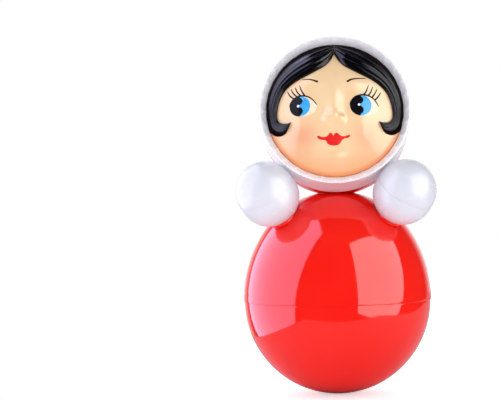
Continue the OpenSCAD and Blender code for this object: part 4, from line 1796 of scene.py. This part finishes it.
@dataclass
class Studio:
    """Pale tabletop, softboxes, a soft room and the camera; places are in metres."""

    camera_place: Triple = (0.0, -1.0, 0.1155)
    camera_roll: float = -0.813
    focal_px: float = 1703.4
    image_px: tuple[int, int] = (500, 400)
    middle_px: Point = (336.04, 195.89)
    sensor: float = 36.0
    table: tuple[Point, Point] = ((-0.115, -0.16), (1.4, 1.6))
    table_right: tuple[Point, Point] = ((0.107, -0.26), (0.253, -0.029))
    table_z: float = -0.0002
    table_cells: int = 8
    table_pale: Colour = srgb(246, 246, 248)
    table_cloud: Colour = srgb(243, 243, 246)
    table_mirrored: Colour = srgb(200, 200, 205)
    table_roughness: float = 0.7
    grain_scale: float = 40.0
    grain_detail: float = 3.0
    glow_levels: Pair = (0.55, 1.0)
    glow_reach: Pair = (0.05, 0.16)
    mirror_levels: Pair = (0.05, 1.0)
    mirror_span: Pair = (0.72, 0.96)
    room_levels: Pair = (0.8, 0.6)
    room_span: Pair = (-0.2, 0.1)
    backdrop_levels: Pair = (0.0, 0.8)
    backdrop_span: Pair = (0.1, 0.7)
    softboxes: tuple[Softbox, ...] = (
        Softbox(
            "left", (-0.33, 0.03, 0.275), (0.62, 0.03, 0.035), (0.72, 0.98), light=0.4, shine=3.3,
            colour=(0.96, 0.93, 1.0), gloss=(0.9, 0.9, 1.3),
        ),
        Softbox(
            "right", (0.55, -0.389, 0.2), (0.03, -0.079, -0.05), (0.823, 1.01), light=0.45,
            shine=4.5, roll=-13.9,
        ),
        Softbox(
            "front", (0.0, -1.3, 0.2), (0.0, 0.0, 0.14), (1.2, 1.0), light=0.95,
            colour=(0.98, 0.97, 1.0),
        ),
        Softbox(
            "bounce", (0.0, -0.42, -0.1), (0.0, 0.0, 0.17), (0.9, 0.3), light=0.6,
            colour=(1.0, 0.97, 1.0),
        ),
    )

    def build(self) -> None:
        """Builds everything round the doll."""
        bpy.context.scene.view_settings.view_transform = "Standard"
        self.camera()
        self.floor()
        self.world()
        for softbox in self.softboxes:
            softbox.hang()

    def camera(self) -> None:
        """Makes the camera at the photograph's viewing angle and frames the doll with its shift."""
        width, height = self.image_px
        data = bpy.data.cameras.new("camera")
        data.sensor_width = self.sensor
        data.lens = self.focal_px * self.sensor / width
        data.shift_x = (width / 2 - self.middle_px[0]) / width
        data.shift_y = (self.middle_px[1] - height / 2) / width
        camera = bpy.data.objects.new("camera", data)
        level = Matrix.Rotation(math.radians(90), 4, "X")
        rolled = level @ Matrix.Rotation(math.radians(self.camera_roll), 4, "Z")
        camera.matrix_world = Matrix.Translation(self.camera_place) @ rolled
        bpy.context.scene.collection.objects.link(camera)
        bpy.context.scene.camera = camera

    def floor(self) -> None:
        """Lays a pale tabletop with a slanting right edge under the doll."""
        (low_x, low_y), (high_x, high_y) = self.table
        (near_x, near_y), (far_x, far_y) = self.table_right
        size = (high_x - low_x, high_y - low_y, 1)
        middle = ((low_x + high_x) / 2, (low_y + high_y) / 2, self.table_z)
        bm = bmesh.new()
        bmesh.ops.create_grid(
            bm, x_segments=self.table_cells, y_segments=self.table_cells, size=0.5
        )
        bmesh.ops.scale(bm, vec=size, verts=bm.verts[:])
        bmesh.ops.translate(bm, vec=middle, verts=bm.verts[:])
        for v in bm.verts:
            right = near_x + (far_x - near_x) * (v.co.y - near_y) / (far_y - near_y)
            v.co.x = low_x + (right - low_x) * (v.co.x - low_x) / (high_x - low_x)
        mesh = bpy.data.meshes.new("floor")
        bm.to_mesh(mesh)
        bm.free()
        mesh.materials.append(self.table_top())
        floor = bpy.data.objects.new("floor", mesh)
        bpy.context.scene.collection.objects.link(floor)

    def table_top(self) -> Material:
        """Pale finish that keeps the doll's shadow and fades to white away from it.

        Returns:
            The material.
        """
        shader = Shader("floor_white")
        path = shader.add("ShaderNodeLightPath")
        grain = shader.noise(shader.place(), self.grain_scale, self.grain_detail)
        pale = shader.clouded(grain, self.table_pale, self.table_cloud)
        mirrored = shader.blend(path.outputs["Is Glossy Ray"], pale, self.table_mirrored)
        shader.feed("Base Color", mirrored)
        shader.set(Roughness=self.table_roughness, Emission_Color=(1, 1, 1, 1))
        reach = shader.add("ShaderNodeVectorMath", operation="LENGTH")
        shader.join(shader.place(), reach.inputs[0])
        white = shader.spread(reach.outputs["Value"], *self.glow_levels, *self.glow_reach)
        glow = shader.combine("MULTIPLY", path.outputs["Is Camera Ray"], white)
        shader.feed("Emission Strength", glow)
        return shader.material

    def world(self) -> None:
        """Lights the room softly; the camera sees white, and gloss only what is behind the doll."""
        world = bpy.data.worlds.new("room")
        world.use_nodes = True
        bpy.context.scene.world = world
        nodes = NodeGraph(world.node_tree)
        path = nodes.add("ShaderNodeLightPath")
        camera_ray, glossy_ray = path.outputs["Is Camera Ray"], path.outputs["Is Glossy Ray"]
        run = nodes.add("ShaderNodeSeparateXYZ")
        nodes.join(nodes.add("ShaderNodeTexCoord").outputs["Generated"], run.inputs["Vector"])
        back, up = run.outputs["Y"], run.outputs["Z"]
        mirrored = nodes.spread(back, *self.mirror_levels, *self.mirror_span)
        backdrop = nodes.spread(back, *self.backdrop_levels, *self.backdrop_span)
        room = nodes.spread(up, *self.room_levels, *self.room_span)
        light = nodes.combine("ADD", room, backdrop)
        seen = nodes.combine("MAXIMUM", camera_ray, glossy_ray)
        shown = nodes.combine("MAXIMUM", camera_ray, mirrored)
        strength = nodes.add("ShaderNodeMix", data_type="FLOAT")
        for socket, source in zip((0, 2, 3), (seen, light, shown)):
            nodes.join(source, strength.inputs[socket])
        background = nodes.add("ShaderNodeBackground")
        background.inputs["Color"].default_value = (1, 1, 1, 1)
        nodes.join(strength.outputs[0], background.inputs["Strength"])
        output = nodes.add("ShaderNodeOutputWorld")
        nodes.join(background.outputs["Background"], output.inputs["Surface"])


def main() -> None:
    """Builds the studio and the doll."""
    logging.basicConfig(level=logging.INFO, format="%(relativeCreated)6d ms %(name)s: %(message)s")
    sizes, palette = DollSizes(), Palette()
    Studio().build()
    assemblies = (
        BodyShells(sizes, palette), Neck(sizes, palette), Head(sizes, palette),
        Bonnet(sizes, palette), Face(sizes, palette), Hands(sizes, palette), Chime(palette),
    )
    for assembly in assemblies:
        maker = type(assembly).__name__
        for piece in assembly.build():
            LOG.info("%s made %s with %d faces", maker, piece.name, len(piece.data.polygons))


if __name__ == "__main__":
    main()
